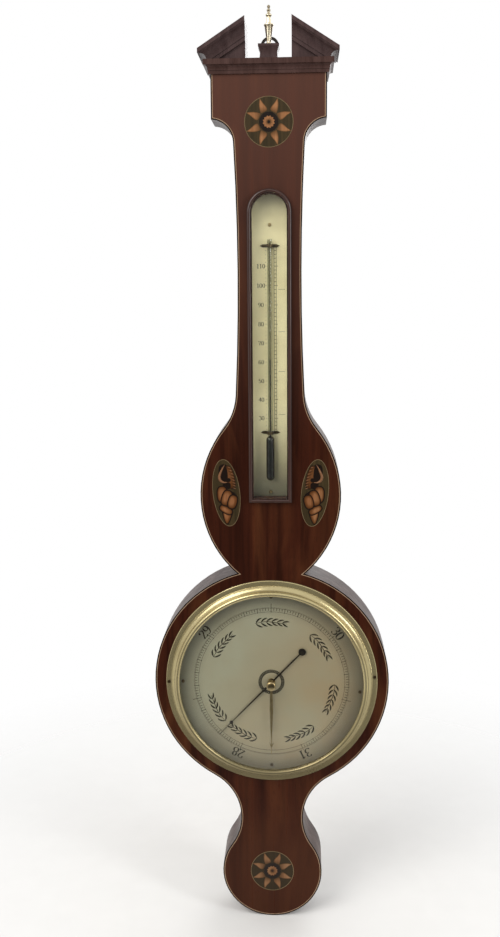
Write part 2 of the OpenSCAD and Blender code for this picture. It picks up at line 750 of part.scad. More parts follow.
module thermo_scale() color("cornsilk") at_dial() difference() {
    arched(recess_half - fit, recess_lo + fit, recess_d, scale_t);
    for (z = pin_at) rod([0, z], recess_d - 1, case_d, shank_r + fit);
}

// Stem and bulb as one glass, with the same outline used smaller for its bore
module stem_shape(shrink, bore, top) {
    r = stem_bulb_r - shrink;
    lo = stem_foot + stem_bulb_r;
    hi = stem_foot + stem_bulb_l - stem_bulb_r;
    upright(0, stem_d, lo, hi, r);
    translate([0, -stem_d, lo]) sphere(r = r);
    translate([0, -stem_d, hi]) sphere(r = r);
    upright(0, stem_d, hi, top, bore);
}

module thermo_tube() color(clear) at_dial() difference() {
    stem_shape(0, stem_r, stem_top);
    stem_shape(0.8, 0.6, stem_top - 3);
}

module thermo_mercury() color(quicksilver) at_dial() stem_shape(0.8 + fit, 0.6 - fit, stem_level);

module thermo_clips() color(brass) at_dial() for (z = clip_at) difference() {
    union() {
        slab(scale_front, 0.7) polygon([[-clip_half, z], [-clip_half + clip_h, z - clip_h / 2],
            [clip_half - clip_h, z - clip_h / 2], [clip_half, z],
            [clip_half - clip_h, z + clip_h / 2], [-clip_half + clip_h, z + clip_h / 2]]);
        block(-stem_r - 1, stem_r + 1, scale_front, stem_d, z - clip_h / 2, z + clip_h / 2);
        upright(0, stem_d, z - clip_h / 2, z + clip_h / 2, stem_r + 1);
    }
    upright(0, stem_d, z - clip_h, z + clip_h, stem_r + fit);
}

module thermo_pins() color(brass) at_dial() for (z = pin_at) {
    rod([0, z], recess_d - 4 + fit, scale_front, shank_r);
    rod([0, z], scale_front, scale_front + head_t, head_r);
}

// Dial and bezel

module dial_plate() color("ghostwhite") at_dial() difference() {
    rod([0, 0], carcass_d, case_d, dial_r);
    rod([0, 0], carcass_d - 1, case_d + 1, bush_hole_r);
    dial_screw_holes();
}

module dial_screws() color(brass) at_dial() for (p = dial_screw_at) {
    rod(p, case_d - screw_l + fit, case_d, shank_r);
    screw_head(p, case_d, case_d + head_t);
}

// Cast bezel: flange on the case, thin bead, hollow, and a rounded rim over the glass
module bezel() color(brass) at_dial() difference() {
    turned() difference() {
        flange_top = case_d + flange_t;
        hollow_r = seat_h - flange_t - 0.4;
        shoulder_r = bezel_r - 5.4;
        rim_at = [sight_r + rim_r, seat_d + 0.4];
        union() {
            difference() {
                polygon([[seat_r, case_d], [bezel_r, case_d], [bezel_r, flange_top - 0.6],
                    [bezel_r - 0.6, flange_top], [shoulder_r, flange_top],
                    [rim_at.x + rim_r * 0.8, seat_d], [seat_r, seat_d]]);
                translate([shoulder_r + 1, flange_top + hollow_r + 0.5]) circle(r = hollow_r);
            }
            translate(rim_at) circle(r = rim_r);
            translate([shoulder_r - 0.2, flange_top + 0.2]) circle(r = 0.6);
        }
        square([seat_r, seat_d]);
    }
    bezel_screw_holes();
}

module bezel_screws() color(brass) at_dial() for (p = bezel_screw_at) {
    rod(p, case_d - screw_l + fit, case_d + flange_t, shank_r);
    screw_head(p, case_d + flange_t, case_d + flange_t + head_t);
}

module bezel_glass() color(clear) at_dial() difference() {
    rod([0, 0], glass_d, seat_d, seat_r - 4 * fit);
    rod([0, 0], glass_d - 1, seat_d + 1, bush_r + fit);
}

// Sprung wire that holds the glass up in its seat
module glass_ring() color(brass) at_dial() turned()
    translate([seat_r - 0.6 - fit, glass_d - 0.6 - fit]) circle(r = 0.6);

module glass_bush() color(brass) at_dial() difference() {
    union() {
        rod([0, 0], glass_d - bush_rim_t, seat_d + bush_rim_t, bush_r);
        rod([0, 0], glass_d - bush_rim_t, glass_d, bush_r + 1.3);
        rod([0, 0], seat_d, seat_d + bush_rim_t, bush_r + 1.3);
    }
    rod([0, 0], glass_d - past, seat_d + past, set_arbor_r + fit);
}

// Hands

// A leaf that swells a third of the way out, ending in a barbed point
module set_hand() color(brass) at_dial() difference() {
    union() {
        rod([0, 0], set_d, set_d + hand_t, set_arbor_r + 1.8);
        slab(set_d, hand_t) polygon([
            [-0.9, 0], [0.9, 0], [1.9, -set_l * 0.35], [0.5, -set_l * 0.8], [0.2, -set_l],
            [-0.2, -set_l], [-0.5, -set_l * 0.8], [-1.9, -set_l * 0.35]
        ]);
        slab(set_d, hand_t) polygon([
            [0, -set_l * 0.92], [-2.6, -set_l * 0.83], [0, -set_l * 0.87], [2.6, -set_l * 0.83]
        ]);
    }
    rod([0, 0], set_d - 1, set_d + hand_t + 1, set_arbor_r + fit);
}

module set_arbor() color(brass) at_dial() {
    rod([0, 0], set_flange_d, set_flange_d + set_flange_t, set_arbor_r + 0.8);
    rod([0, 0], set_flange_d, knob_d + knob_l - 2, set_arbor_r);
}

// Turned knob in front of the glass: stem, bead and rounded button
module set_knob() color(brass) at_dial() difference() {
    turned() union() {
        translate([0, knob_d]) square([knob_r * 0.62, knob_l - 1]);
        intersection() {
            translate([0, knob_d + 1.4]) square([knob_r, knob_l - 1.4]);
            translate([knob_r - 1.6, knob_d + 3]) circle(r = 1.6);
        }
        intersection() {
            square([knob_r - 1.6, 2 * case_d]);
            translate([0, knob_d + knob_l - 3 * knob_r]) circle(r = 3 * knob_r);
            translate([0, knob_d + 1.4]) square([knob_r, knob_l]);
        }
    }
    rod([0, 0], knob_d - 1, knob_d + knob_l - 2 + fit, set_arbor_r + fit);
}

module indicator_hand() color("midnightblue") at_dial() rotate([0, -hand_rest, 0]) difference() {
    union() {
        rod([0, 0], hand_d, hand_d + hand_t, collet_r + 1.2);
        slab(hand_d, hand_t) polygon([[-1, 0], [1, 0], [0.15, hand_l], [-0.15, hand_l]]);
        rod([0, hand_l * 0.76], hand_d, hand_d + hand_t, 1.9);
        slab(hand_d, hand_t) polygon([[-0.9, 0], [0.9, 0], [0.6, -tail_l], [-0.6, -tail_l]]);
        rod([0, -tail_l], hand_d, hand_d + hand_t, tail_r);
    }
    rod([0, 0], hand_d - 1, hand_d + hand_t + 1, collet_r + fit);
}

module hand_collet() color(brass) at_dial() difference() {
    union() {
        rod([0, 0], collet_d, hand_d, collet_r + 0.8);
        rod([0, 0], collet_d, collet_front, collet_r);
    }
    rod([0, 0], case_d, collet_front + 1, arbor_r + fit);
}

// Wheel work

module hand_arbor() color(steel) at_dial() {
    rod([0, 0], cock_front + 0.6, arbor_front, arbor_r);
    rod([0, 0], cock_d, cock_front + 0.6, pivot_r);
}

module pulley() color(brass) at_dial() turned() difference() {
    translate([arbor_r + fit, tube_d - pulley_w / 2]) square([flange_r - arbor_r - fit, pulley_w]);
    polygon([[flange_r + 1, tube_d - pulley_w / 2 + 0.5], [flange_r - groove_h, tube_d - silk_r - 0.3],
        [flange_r - groove_h, tube_d + silk_r + 0.3], [flange_r + 1, tube_d + pulley_w / 2 - 0.5]]);
}

// The silk laid round the pulley
module thread_turns() color("ivory") at_dial() turned() translate([run_r, tube_d]) circle(r = silk_r);

module arbor_bush() color(brass) at_dial() difference() {
    union() {
        rod([0, 0], floor_d - 1.4, floor_d, bush_hole_r + 2);
        rod([0, 0], floor_d - 1.4, case_d + 0.5, bush_hole_r - fit);
    }
    rod([0, 0], 0, case_d + 1, arbor_r + fit);
}

// Cock that carries the rear pivot, standing on the floor of the bay over the pulley
module pivot_cock() color(brass) at_dial() difference() {
    union() {
        block(-cock_half, cock_half, cock_d, cock_front, 0, cock_post_hi);
        block(-cock_half, cock_half, cock_d, floor_d, cock_post_lo, cock_post_hi);
        rod([0, 0], cock_d, cock_front, cock_half - 0.4);
    }
    rod([0, 0], 0, floor_d, pivot_r + fit);
    rod(cock_screw, 0, floor_d + 1, shank_r + fit);
}

// Lower half of a ring that joins the two limbs
module bend(r) translate([bend_x, -tube_d, bend_z]) rotate([90, 0, 0])
    rotate_extrude(angle = -180) translate([bend_r, 0]) circle(r = r);

module siphon_tube() color(clear) at_dial() difference() {
    union() {
        upright(long_x, tube_d, bend_z, tube_top - tube_r, tube_r);
        translate([long_x, -tube_d, tube_top - tube_r]) sphere(r = tube_r);
        upright(short_x, tube_d, bend_z, mouth_z, tube_r);
        bend(tube_r);
    }
    upright(long_x, tube_d, bend_z, tube_top - tube_r, bore_r);
    translate([long_x, -tube_d, tube_top - tube_r]) sphere(r = bore_r);
    upright(short_x, tube_d, bend_z, mouth_z + 1, bore_r);
    bend(bore_r);
}

module mercury_column() color(quicksilver) at_dial() {
    upright(long_x, tube_d, bend_z, level_z + column_h, bore_r - fit);
    bend(bore_r - fit);
}

// The free surface that the float rests on, which sinks as the air grows heavier
module mercury_surface() color(quicksilver) at_dial()
    upright(short_x, tube_d, bend_z, level_z, bore_r - fit);

module float() color(clear) at_dial() {
    upright(short_x, tube_d, float_z, float_z + float_l - 3, bore_r - gap);
    translate([0, 0, float_z + float_l - 3]) translate([short_x, -tube_d, 0])
        cylinder(r1 = bore_r - gap, r2 = 0.8, h = 3);
}

module float_thread() color("ivory") at_dial() upright(short_x, tube_d, float_z + float_l, silk_top, silk_r);

module counterweight() color(brass) at_dial() {
    upright(-run_r, tube_d, weight_z, weight_z + weight_l - 2, guide_r - guide_wall - gap);
    translate([-run_r, -tube_d, weight_z + weight_l - 2])
        cylinder(r1 = guide_r - guide_wall - gap, r2 = 0.8, h = 2);
}

module counterweight_thread() color("ivory") at_dial()
    upright(-run_r, tube_d, weight_z + weight_l, silk_top, silk_r);

module guide_tube() color(clear) at_dial() difference() {
    upright(-run_r, tube_d, guide_lo, guide_hi, guide_r);
    upright(-run_r, tube_d, guide_lo - 1, guide_hi + 1, guide_r - guide_wall);
}

// Grooves that the tubes lie in
module tube_grooves() {
    upright(long_x, tube_d, bend_z, tube_top, tube_r + fit);
    upright(short_x, tube_d, bend_z, mouth_z + 1, tube_r + fit);
    upright(-run_r, tube_d, guide_lo, guide_hi + 1, guide_r + fit);
}

// One row of blocks at each place where the tubes are held, between two depths
module cradle_row(back_slot, back_bay, front) difference() {
    union() {
        for (z = slot_cradles) block(slot_l + fit, slot_r - fit, back_slot, front, z, z + cradle_h);
        block(bay_l + fit, silk_side, back_bay, front, weight_cradle, weight_cradle + cradle_h);
        block(bay_l + fit, bay_r - fit, back_slot, front, siphon_cradle, siphon_cradle + cradle_h);
    }
    tube_grooves();
}

module tube_cradles() color(box_wood) at_dial() cradle_row(tube_d + fit, tube_d + fit, floor_d);
module tube_wedges() color("tan") at_dial() cradle_row(cover_t, door_t + 2 * gap, tube_d - fit);

module siphon_block() color(box_wood) at_dial() difference() {
    block(bay_l + fit, bay_r - fit, cover_t, floor_d, bay_lo, bend_z - tube_r);
    translate([bend_x, 0, bend_z]) rotate([90, 0, 0]) cylinder(r = bend_r + tube_r + fit, h = case_d);
}

// Back

module channel_covers() color(mahogany) at_dial() difference() {
    union() {
        block(cover_l + fit, cover_r - fit, 0, cover_t, door_hi + fit, cover_hi - fit);
        block(rebate_l + fit, rebate_r - fit, 0, cover_t, rebate_lo + fit, door_lo - fit);
    }
    for (p = concat(cover_screws, foot_screws)) back_screw_hole(p, cover_t - head_t);
}

module back_door() color(mahogany) at_dial() difference() {
    block(door_l, rebate_r - 2 * gap, 0, door_t, door_lo + gap, door_hi - gap);
    for (z = hinge_at) {
        block(door_l - 1, door_leaf_l, -past, 2 * knuckle_r + gap, z - gap, z + hinge_l + gap);
        block(door_leaf_l - 1, door_leaf_l + leaf_w + fit, -past, leaf_t, z - fit, z + hinge_l + fit);
    }
    for (p = door_leaf_screws) door_screw_hole(p);
}

module door_screw_hole(p) {
    rod(p, -past, head_t, head_r + fit);
    rod(p, 0, door_screw_l + fit, shank_r + fit);
}

// Knuckle barrels along one hinge, between two shares of its length
module knuckle(z, from, to) difference() {
    union() {
        upright(hinge_x, knuckle_r, z + from, z + to, knuckle_r);
        children();
    }
    upright(hinge_x, knuckle_r, z - 1, z + hinge_l + 1, pin_r + fit);
}

module case_hinge_leaves() color(brass) at_dial() difference() {
    third = hinge_l / 3;
    for (z = hinge_at) {
        for (lo = [0, 2 * third])
            knuckle(z, lo, lo + third) block(rebate_l - 1, hinge_x, 0, leaf_t, z + lo, z + lo + third);
        block(rebate_l - leaf_w, rebate_l, 0, leaf_t, z, z + hinge_l);
    }
    for (p = leaf_screws) back_screw_hole(p, head_t);
}

module door_hinge_leaves() color(brass) at_dial() difference() {
    third = hinge_l / 3;
    for (z = hinge_at) {
        knuckle(z, third + gap, 2 * third - gap)
            block(hinge_x, door_leaf_l + 1, 0, leaf_t, z + third + gap, z + 2 * third - gap);
        block(door_leaf_l, door_leaf_l + leaf_w, 0, leaf_t, z, z + hinge_l);
    }
    for (p = door_leaf_screws) door_screw_hole(p);
}

module hinge_pins() color(steel) at_dial()
    for (z = hinge_at) upright(hinge_x, knuckle_r, z, z + hinge_l, pin_r);

module hanging_plate() color("dimgray") at_dial() difference() {
    union() {
        block(-plate_w / 2, plate_w / 2, 0, plate_t, plate_lo, cornice_top);
        block(-plate_w / 2 + 2, plate_w / 2 - 2, 0, plate_t, cornice_top - 1, eye_z);
        rod([0, eye_z], 0, plate_t, eye_r + eye_rim);
    }
    rod([0, eye_z], -1, plate_t + 1, eye_r);
    for (p = plate_screws) back_screw_hole(p, plate_t - 1);
}

module case_screws() color(brass) at_dial() {
    for (p = concat(cover_screws, foot_screws)) back_screw(p, cover_t - head_t);
    for (p = plate_screws) back_screw(p, plate_t - 1);
    for (p = leaf_screws) back_screw(p, head_t);
    screw_head(cock_screw, cock_d, cock_d - head_t);
    rod(cock_screw, cock_d, floor_d + 6 - fit, shank_r);
}

module door_screws() color(brass) at_dial() for (p = door_leaf_screws) {
    screw_head(p, head_t, 0);
    rod(p, head_t, door_screw_l, shank_r);
}

case_carcass();
front_veneer();
edge_banding();
edge_stringing();
inlay_grounds();
inlay_borders();
flower_petals();
flower_centres();
shell_whorls();
cornice();
left_tympanum();
right_tympanum();
left_crown();
right_crown();
finial_plinth();
brass_finial();
thermo_scale();
thermo_tube();
thermo_mercury();
thermo_clips();
thermo_pins();
thermo_glass();
thermo_frame();
dial_plate();
dial_screws();
bezel();
bezel_screws();
bezel_glass();
glass_ring();
glass_bush();
set_hand();
set_arbor();
set_knob();
indicator_hand();
hand_collet();
hand_arbor();
pulley();
thread_turns();
arbor_bush();
pivot_cock();
siphon_tube();
mercury_column();
mercury_surface();
float();
float_thread();
counterweight();
counterweight_thread();
guide_tube();
tube_cradles();
tube_wedges();
siphon_block();
channel_covers();
back_door();
case_hinge_leaves();
door_hinge_leaves();
hinge_pins();
hanging_plate();
case_screws();
door_screws();
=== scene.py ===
# %% [markdown]
# # A wheel barometer in a banjo case
# The solids of the barometer come in as a fixed frame. This lesson gives them their finishes and
# adds what is too fine for the solids: engraved scales, slips of scorched inlay, and the light.
# Each step first says what the real piece is and why it is made this way, and then makes it.

# %% Load the frame
import math

import bmesh
import bpy
from mathutils import Matrix, Vector
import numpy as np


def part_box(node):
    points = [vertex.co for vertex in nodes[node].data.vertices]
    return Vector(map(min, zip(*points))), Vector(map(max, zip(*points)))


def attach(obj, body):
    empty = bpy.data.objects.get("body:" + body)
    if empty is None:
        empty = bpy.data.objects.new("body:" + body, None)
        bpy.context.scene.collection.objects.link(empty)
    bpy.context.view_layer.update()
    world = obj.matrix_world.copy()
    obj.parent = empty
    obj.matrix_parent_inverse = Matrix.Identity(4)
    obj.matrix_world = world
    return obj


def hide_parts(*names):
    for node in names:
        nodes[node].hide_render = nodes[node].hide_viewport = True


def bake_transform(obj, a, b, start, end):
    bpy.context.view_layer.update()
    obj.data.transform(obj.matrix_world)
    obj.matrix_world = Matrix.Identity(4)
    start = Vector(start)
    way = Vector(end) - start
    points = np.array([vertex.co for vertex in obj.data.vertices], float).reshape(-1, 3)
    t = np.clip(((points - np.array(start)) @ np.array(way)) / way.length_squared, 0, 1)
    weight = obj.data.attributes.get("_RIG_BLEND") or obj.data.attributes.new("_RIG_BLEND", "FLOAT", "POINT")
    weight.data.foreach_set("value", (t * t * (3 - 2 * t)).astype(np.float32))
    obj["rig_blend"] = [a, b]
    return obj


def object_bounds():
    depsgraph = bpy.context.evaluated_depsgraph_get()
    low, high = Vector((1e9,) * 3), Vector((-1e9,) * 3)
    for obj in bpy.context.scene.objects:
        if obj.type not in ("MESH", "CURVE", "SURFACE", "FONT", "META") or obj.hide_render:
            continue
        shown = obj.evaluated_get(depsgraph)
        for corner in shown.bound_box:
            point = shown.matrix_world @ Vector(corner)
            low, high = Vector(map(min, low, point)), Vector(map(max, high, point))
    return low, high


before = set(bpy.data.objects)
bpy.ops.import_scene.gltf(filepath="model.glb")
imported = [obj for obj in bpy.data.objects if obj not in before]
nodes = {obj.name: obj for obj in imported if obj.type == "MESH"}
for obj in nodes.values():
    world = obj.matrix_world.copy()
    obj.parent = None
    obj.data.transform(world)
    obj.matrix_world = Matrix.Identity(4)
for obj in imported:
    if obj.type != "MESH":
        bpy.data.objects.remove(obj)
cad_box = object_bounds()
MM = 0.001
print("nodes:", len(nodes), "box:", [round(x, 4) for c in cad_box for x in c])

# %% [markdown]
# Places could be typed in, but then a change of size in the solids would leave the finishes behind.
# So they are read from the frame, each one where it is first needed. The front faces -Y, so the
# smaller Y of a box is its front.

# %% Read the place of the dial
dial_low, dial_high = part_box("dial_plate")
dial_at = (dial_low + dial_high) / 2
dial_r = (dial_high.x - dial_low.x) / 2
floor_z = cad_box[0].z
print("dial radius, mm:", round(dial_r / MM, 1), "at height", round(dial_at.z, 4))

# %% [markdown]
# A material here is a Principled shader fed by a few nodes. Small helpers keep the later cells
# short: one adds a node and fills its sockets, and the others stand for nodes that come back again
# and again. A colour is written as three numbers, and the helper adds the fourth. Blender's Mix
# node keeps its sockets for colours behind those for numbers, so they are named by their index.

# %% Helpers for nodes
MIX_SHARE, MIX_FIRST, MIX_SECOND, MIX_COLOUR = 0, 6, 7, 2


def feed(tree, socket, value):
    if isinstance(value, bpy.types.NodeSocket):
        tree.links.new(value, socket)
    elif socket.type == "RGBA":
        socket.default_value = (*value, 1.0)
    else:
        socket.default_value = value


def add(tree, kind, sockets=None, **settings):
    made = tree.nodes.new("ShaderNode" + kind)
    for name, value in settings.items():
        setattr(made, name, value)
    for name, value in (sockets or {}).items():
        feed(tree, made.inputs[name], value)
    return made


def calc(tree, operation, a, b=0.0, c=0.0):
    return add(tree, "Math", {0: a, 1: b, 2: c}, operation=operation).outputs[0]


def ramp(tree, value, low, high, to_low=0.0, to_high=1.0):
    span = {"From Min": low, "From Max": high, "To Min": to_low, "To Max": to_high}
    return add(tree, "MapRange", {"Value": value, **span}, clamp=True).outputs["Result"]


def blend(tree, share, first, second):
    sockets = {MIX_SHARE: share, MIX_FIRST: first, MIX_SECOND: second}
    return add(tree, "Mix", sockets, data_type="RGBA").outputs[MIX_COLOUR]


print("node helpers ready")

# %% [markdown]
# Grain, patches and dirt depend on the place in the frame. Generated coordinates would stretch a
# pattern to the size of each piece. Object coordinates keep it true to scale, and because every
# piece sits at the origin, they are the same for all of them.

# %% Helpers for places
def where(tree):
    return add(tree, "TexCoord").outputs["Object"]


def axes(tree):
    return add(tree, "SeparateXYZ", {0: where(tree)}).outputs


def level(tree, low, high, to_low, to_high):
    return ramp(tree, axes(tree)["Z"], low, high, to_low, to_high)


print("place helpers ready")

# %% [markdown]
# A value that is the same all over a surface is set on the shader itself. An effect that several
# materials share is a node group, which is built once and placed with other values in each.

# %% Helpers for materials and groups
def material(name, plain):
    made = bpy.data.materials.new(name)
    made.use_nodes = True
    shader = made.node_tree.nodes["Principled BSDF"]
    for socket, value in plain.items():
        shader.inputs[socket].default_value = value
    return made, made.node_tree, shader


def bump(tree, shader, height, strength, distance):
    sockets = {"Height": height, "Strength": strength, "Distance": distance}
    tree.links.new(add(tree, "Bump", sockets).outputs["Normal"], shader.inputs["Normal"])


def group(name, inputs, outputs):
    made = bpy.data.node_groups.new(name, "ShaderNodeTree")
    for label, kind in inputs.items():
        made.interface.new_socket(label, in_out="INPUT", socket_type="NodeSocket" + kind)
    for label, kind in outputs.items():
        made.interface.new_socket(label, in_out="OUTPUT", socket_type="NodeSocket" + kind)
    start, end = made.nodes.new("NodeGroupInput"), made.nodes.new("NodeGroupOutput")
    return made, start.outputs, end.inputs


def place(tree, made, sockets):
    return add(tree, "Group", sockets, node_tree=made).outputs


print("material helpers ready")

# %% [markdown]
# Mahogany is a red-brown wood with ribbons of light and dark along the grain, a slow figure across
# a wide board and short dark pores. The grain runs up the case, so all three noises are stretched
# along Z. A picture of a board would repeat and blur close up, and noise does neither. One group
# makes the grain, and each wood gives it its own three colours.

# %% Wood grain group
WOOD_INPUTS = {
    "Vector": "Vector", "Dark": "Color", "Mid": "Color", "Light": "Color",
    "Ribbon": "Float", "Figure": "Float", "Pores": "Float",
}
WOOD_OUTPUTS = {"Color": "Color", "Roughness": "Float", "Height": "Float"}
PORE_DARK = (0.008, 0.003, 0.002)
wood, wood_in, wood_out = group("wood_grain", WOOD_INPUTS, WOOD_OUTPUTS)


def stretched(across, along):
    sockets = {0: wood_in["Vector"], 1: (across, across, along)}
    return add(wood, "VectorMath", sockets, operation="MULTIPLY").outputs["Vector"]


def wood_noise(vector, detail, distortion):
    sockets = {"Vector": vector, "Scale": 1.0, "Detail": detail, "Distortion": distortion}
    return add(wood, "TexNoise", sockets).outputs["Fac"]


ribbon_sockets = {0: stretched(1.0, 0.035), "Scale": wood_in["Ribbon"]}
ribbon_at = add(wood, "VectorMath", ribbon_sockets, operation="SCALE").outputs[0]
ribbon_noise = wood_noise(ribbon_at, 5.0, 0.5)
broad_noise = wood_noise(stretched(26.0, 5.0), 3.0, 1.2)
pore_noise = wood_noise(stretched(2400.0, 110.0), 2.0, 0.0)
pore_mask = calc(wood, "MULTIPLY", ramp(wood, pore_noise, 0.56, 0.72), wood_in["Pores"])
ribbon_mask = ramp(wood, ribbon_noise, 0.32, 0.68)
ribbons = blend(wood, ribbon_mask, wood_in["Dark"], wood_in["Mid"])
figure_mask = calc(wood, "MULTIPLY", ramp(wood, broad_noise, 0.46, 0.72), wood_in["Figure"])
figured = blend(wood, figure_mask, ribbons, wood_in["Light"])
wood.links.new(blend(wood, pore_mask, figured, PORE_DARK), wood_out["Color"])
wood.links.new(ramp(wood, ribbon_noise, 0.3, 0.7, 0.36, 0.26), wood_out["Roughness"])
wood.links.new(calc(wood, "MULTIPLY", pore_mask, -1.0), wood_out["Height"])
print("wood group:", len(wood.nodes), "nodes")

# %% [markdown]
# One function makes all the woods of the case. Bare boards are matt, and polished ones have a thin
# coat. Two woods change with the place: the front has an even, handled foot, and towards its upper
# end it turns a paler grey, a painted reflection of the room on the polish. The carcass was left
# raw behind and in the hollow for the tubes. Each change is a function that takes the colour of the
# grain and gives back another.

# %% Wood finish
HANDLED, HANDLED_SHARE = (0.046, 0.0165, 0.0085), 0.5
HANDLED_TO, HANDLED_FROM = dial_at.z - 0.2, dial_at.z - 0.12
PAINTED_VEIL, PAINTED_VEIL_SHARE = (0.115, 0.053, 0.038), 0.55
PAINTED_VEIL_FROM, PAINTED_VEIL_TO = dial_at.z + 0.25, dial_at.z + 0.6
RAW_TONES = [(0.06, 0.027, 0.013), (0.115, 0.055, 0.026), (0.16, 0.083, 0.04)]
HOLLOW_DEPTH, HOLLOW_HALF_W, FOOT_WALL = 28.5 * MM, 29.0 * MM, 12.0 * MM


def grain_of(tree, tones, ribbon, figure, pores):
    colours = dict(zip(("Dark", "Mid", "Light"), tones))
    amounts = {"Ribbon": ribbon, "Figure": figure, "Pores": pores}
    return place(tree, wood, {"Vector": where(tree), **colours, **amounts})


def sun_faded(tree, colour):
    foot = level(tree, HANDLED_TO, HANDLED_FROM, HANDLED_SHARE, 0.0)
    # The paler grey towards the upper end is a painted reflection, a veil over the polish.
    upper = level(tree, PAINTED_VEIL_FROM, PAINTED_VEIL_TO, 0.0, PAINTED_VEIL_SHARE)
    return blend(tree, upper, blend(tree, foot, colour, HANDLED), PAINTED_VEIL)


def raw_behind(tree, colour):
    parts = axes(tree)
    back = ramp(tree, parts["Y"], -0.6 * MM, -0.3 * MM)
    deep = calc(tree, "GREATER_THAN", parts["Y"], -HOLLOW_DEPTH)
    inside = calc(tree, "LESS_THAN", calc(tree, "ABSOLUTE", parts["X"]), HOLLOW_HALF_W)
    above = calc(tree, "GREATER_THAN", parts["Z"], floor_z + FOOT_WALL)
    hollow = calc(tree, "MULTIPLY", calc(tree, "MULTIPLY", deep, inside), above)
    raw = grain_of(tree, RAW_TONES, 90.0, 0.4, 0.6)
    return blend(tree, calc(tree, "MAXIMUM", back, hollow), colour, raw["Color"])


def wood_finish(name, tones, ribbon, figure, pores, polish=0.0, matt=0.0, gloss=0.06, place_tone=None):
    plain = {"Specular IOR Level": gloss, "Coat Weight": polish, "Coat Roughness": 0.15}
    made, tree, shader = material(name, plain)
    grain = grain_of(tree, tones, ribbon, figure, pores)
    colour = place_tone(tree, grain["Color"]) if place_tone else grain["Color"]
    tree.links.new(colour, shader.inputs["Base Color"])
    tree.links.new(calc(tree, "ADD", grain["Roughness"], matt), shader.inputs["Roughness"])
    bump(tree, shader, grain["Height"], 0.25, 0.2 * MM)
    return made


print("wood finish ready")

# %% [markdown]
# The three tones of a wood go from the dark of its ribbons to the light of its figure. The next
# numbers say how many ribbons there are to the metre and how strong the figure and the pores are.
# The front is a polished veneer on a plainer carcass, the mouldings have gone grey, the edge band
# was stained black, and the boards and blocks behind were never polished.

# %% Woods of the case
veneer_wood = wood_finish(
    "polished_veneer", [(0.019, 0.0045, 0.002), (0.045, 0.011, 0.0049), (0.105, 0.033, 0.0115)],
    150.0, 0.58, 0.5, polish=0.04, place_tone=sun_faded,
)
side_wood = wood_finish(
    "case_sides", [(0.026, 0.008, 0.0045), (0.052, 0.017, 0.009), (0.082, 0.029, 0.014)],
    120.0, 0.3, 0.5, matt=0.05, gloss=0.18, place_tone=raw_behind,
)
cover_wood = wood_finish(
    "back_boards", [(0.15, 0.075, 0.034), (0.25, 0.135, 0.064), (0.32, 0.19, 0.1)],
    80.0, 0.5, 0.6, matt=0.3,
)
pediment_wood = wood_finish(
    "dark_mouldings", [(0.045, 0.026, 0.025), (0.075, 0.047, 0.045), (0.1, 0.063, 0.058)],
    180.0, 0.35, 0.5, polish=0.1,
)
cornice_wood = wood_finish(
    "cornice_moulding", [(0.042, 0.02, 0.016), (0.075, 0.04, 0.034), (0.1, 0.055, 0.045)],
    180.0, 0.35, 0.5, polish=0.1,
)
frame_wood = wood_finish(
    "frame_moulding", [(0.025, 0.01, 0.007), (0.05, 0.021, 0.015), (0.075, 0.034, 0.025)],
    220.0, 0.35, 0.4, polish=0.8,
)
band_wood = wood_finish(
    "ebonised_band", [(0.007, 0.0035, 0.0026), (0.015, 0.007, 0.005), (0.024, 0.011, 0.007)],
    300.0, 0.2, 0.3, polish=0.1,
)
box_wood = wood_finish(
    "boxwood_line", [(0.27, 0.17, 0.105), (0.36, 0.24, 0.155), (0.42, 0.3, 0.2)],
    240.0, 0.4, 0.2, polish=0.1,
)
border_wood = wood_finish(
    "inlay_line", [(0.11, 0.075, 0.037), (0.17, 0.12, 0.064), (0.22, 0.16, 0.09)],
    240.0, 0.4, 0.2, polish=0.1,
)
block_wood = wood_finish(
    "raw_boxwood", [(0.36, 0.22, 0.11), (0.48, 0.32, 0.17), (0.55, 0.4, 0.24)],
    180.0, 0.4, 0.3, matt=0.3,
)
print("woods ready, plain and polished")

# %% [markdown]
# The inlays were cut from thin pale wood. Some slips are dyed, and some were dipped in hot sand,
# which scorches an edge brown and then black. How pale the wood stays is kept in an attribute of
# the mesh, from 0 on a burnt edge to 1 in a pale middle, and the finish only reads it. Noise could
# not do that, because each slip is burnt along its own edge. Towards the foot every inlay is
# darkened with painted shade, so the lower flower is darker than the upper one.

# %% Inlay finishes
CHARRED, INLAY_SHADE = (0.01, 0.005, 0.003), (0.05, 0.021, 0.009)
CHAR_UP_TO, BROWN_UP_TO = 0.08, 0.7
SHADED_BELOW, UNSHADED_ABOVE = dial_at.z - 0.15, dial_at.z + 0.1


def inlay_finish(name, tones, shade_tone, share, brown=None):
    sheen = {"Roughness": 0.32, "Specular IOR Level": 0.15}
    coat = {"Coat Weight": 0.1, "Coat Roughness": 0.12}
    made, tree, shader = material(name, {**sheen, **coat})
    colour = grain_of(tree, tones, 350.0, 0.7, 0.15)["Color"]
    if brown:
        pale = add(tree, "Attribute", attribute_name="shade").outputs["Fac"]
        warm = blend(tree, ramp(tree, pale, CHAR_UP_TO, BROWN_UP_TO), brown, colour)
        colour = blend(tree, ramp(tree, pale, 0.0, CHAR_UP_TO), CHARRED, warm)
    # Painted shade: every inlay darkens towards the foot of the case.
    painted_shade = level(tree, SHADED_BELOW, UNSHADED_ABOVE, share, 0.0)
    tree.links.new(blend(tree, painted_shade, colour, shade_tone), shader.inputs["Base Color"])
    return made


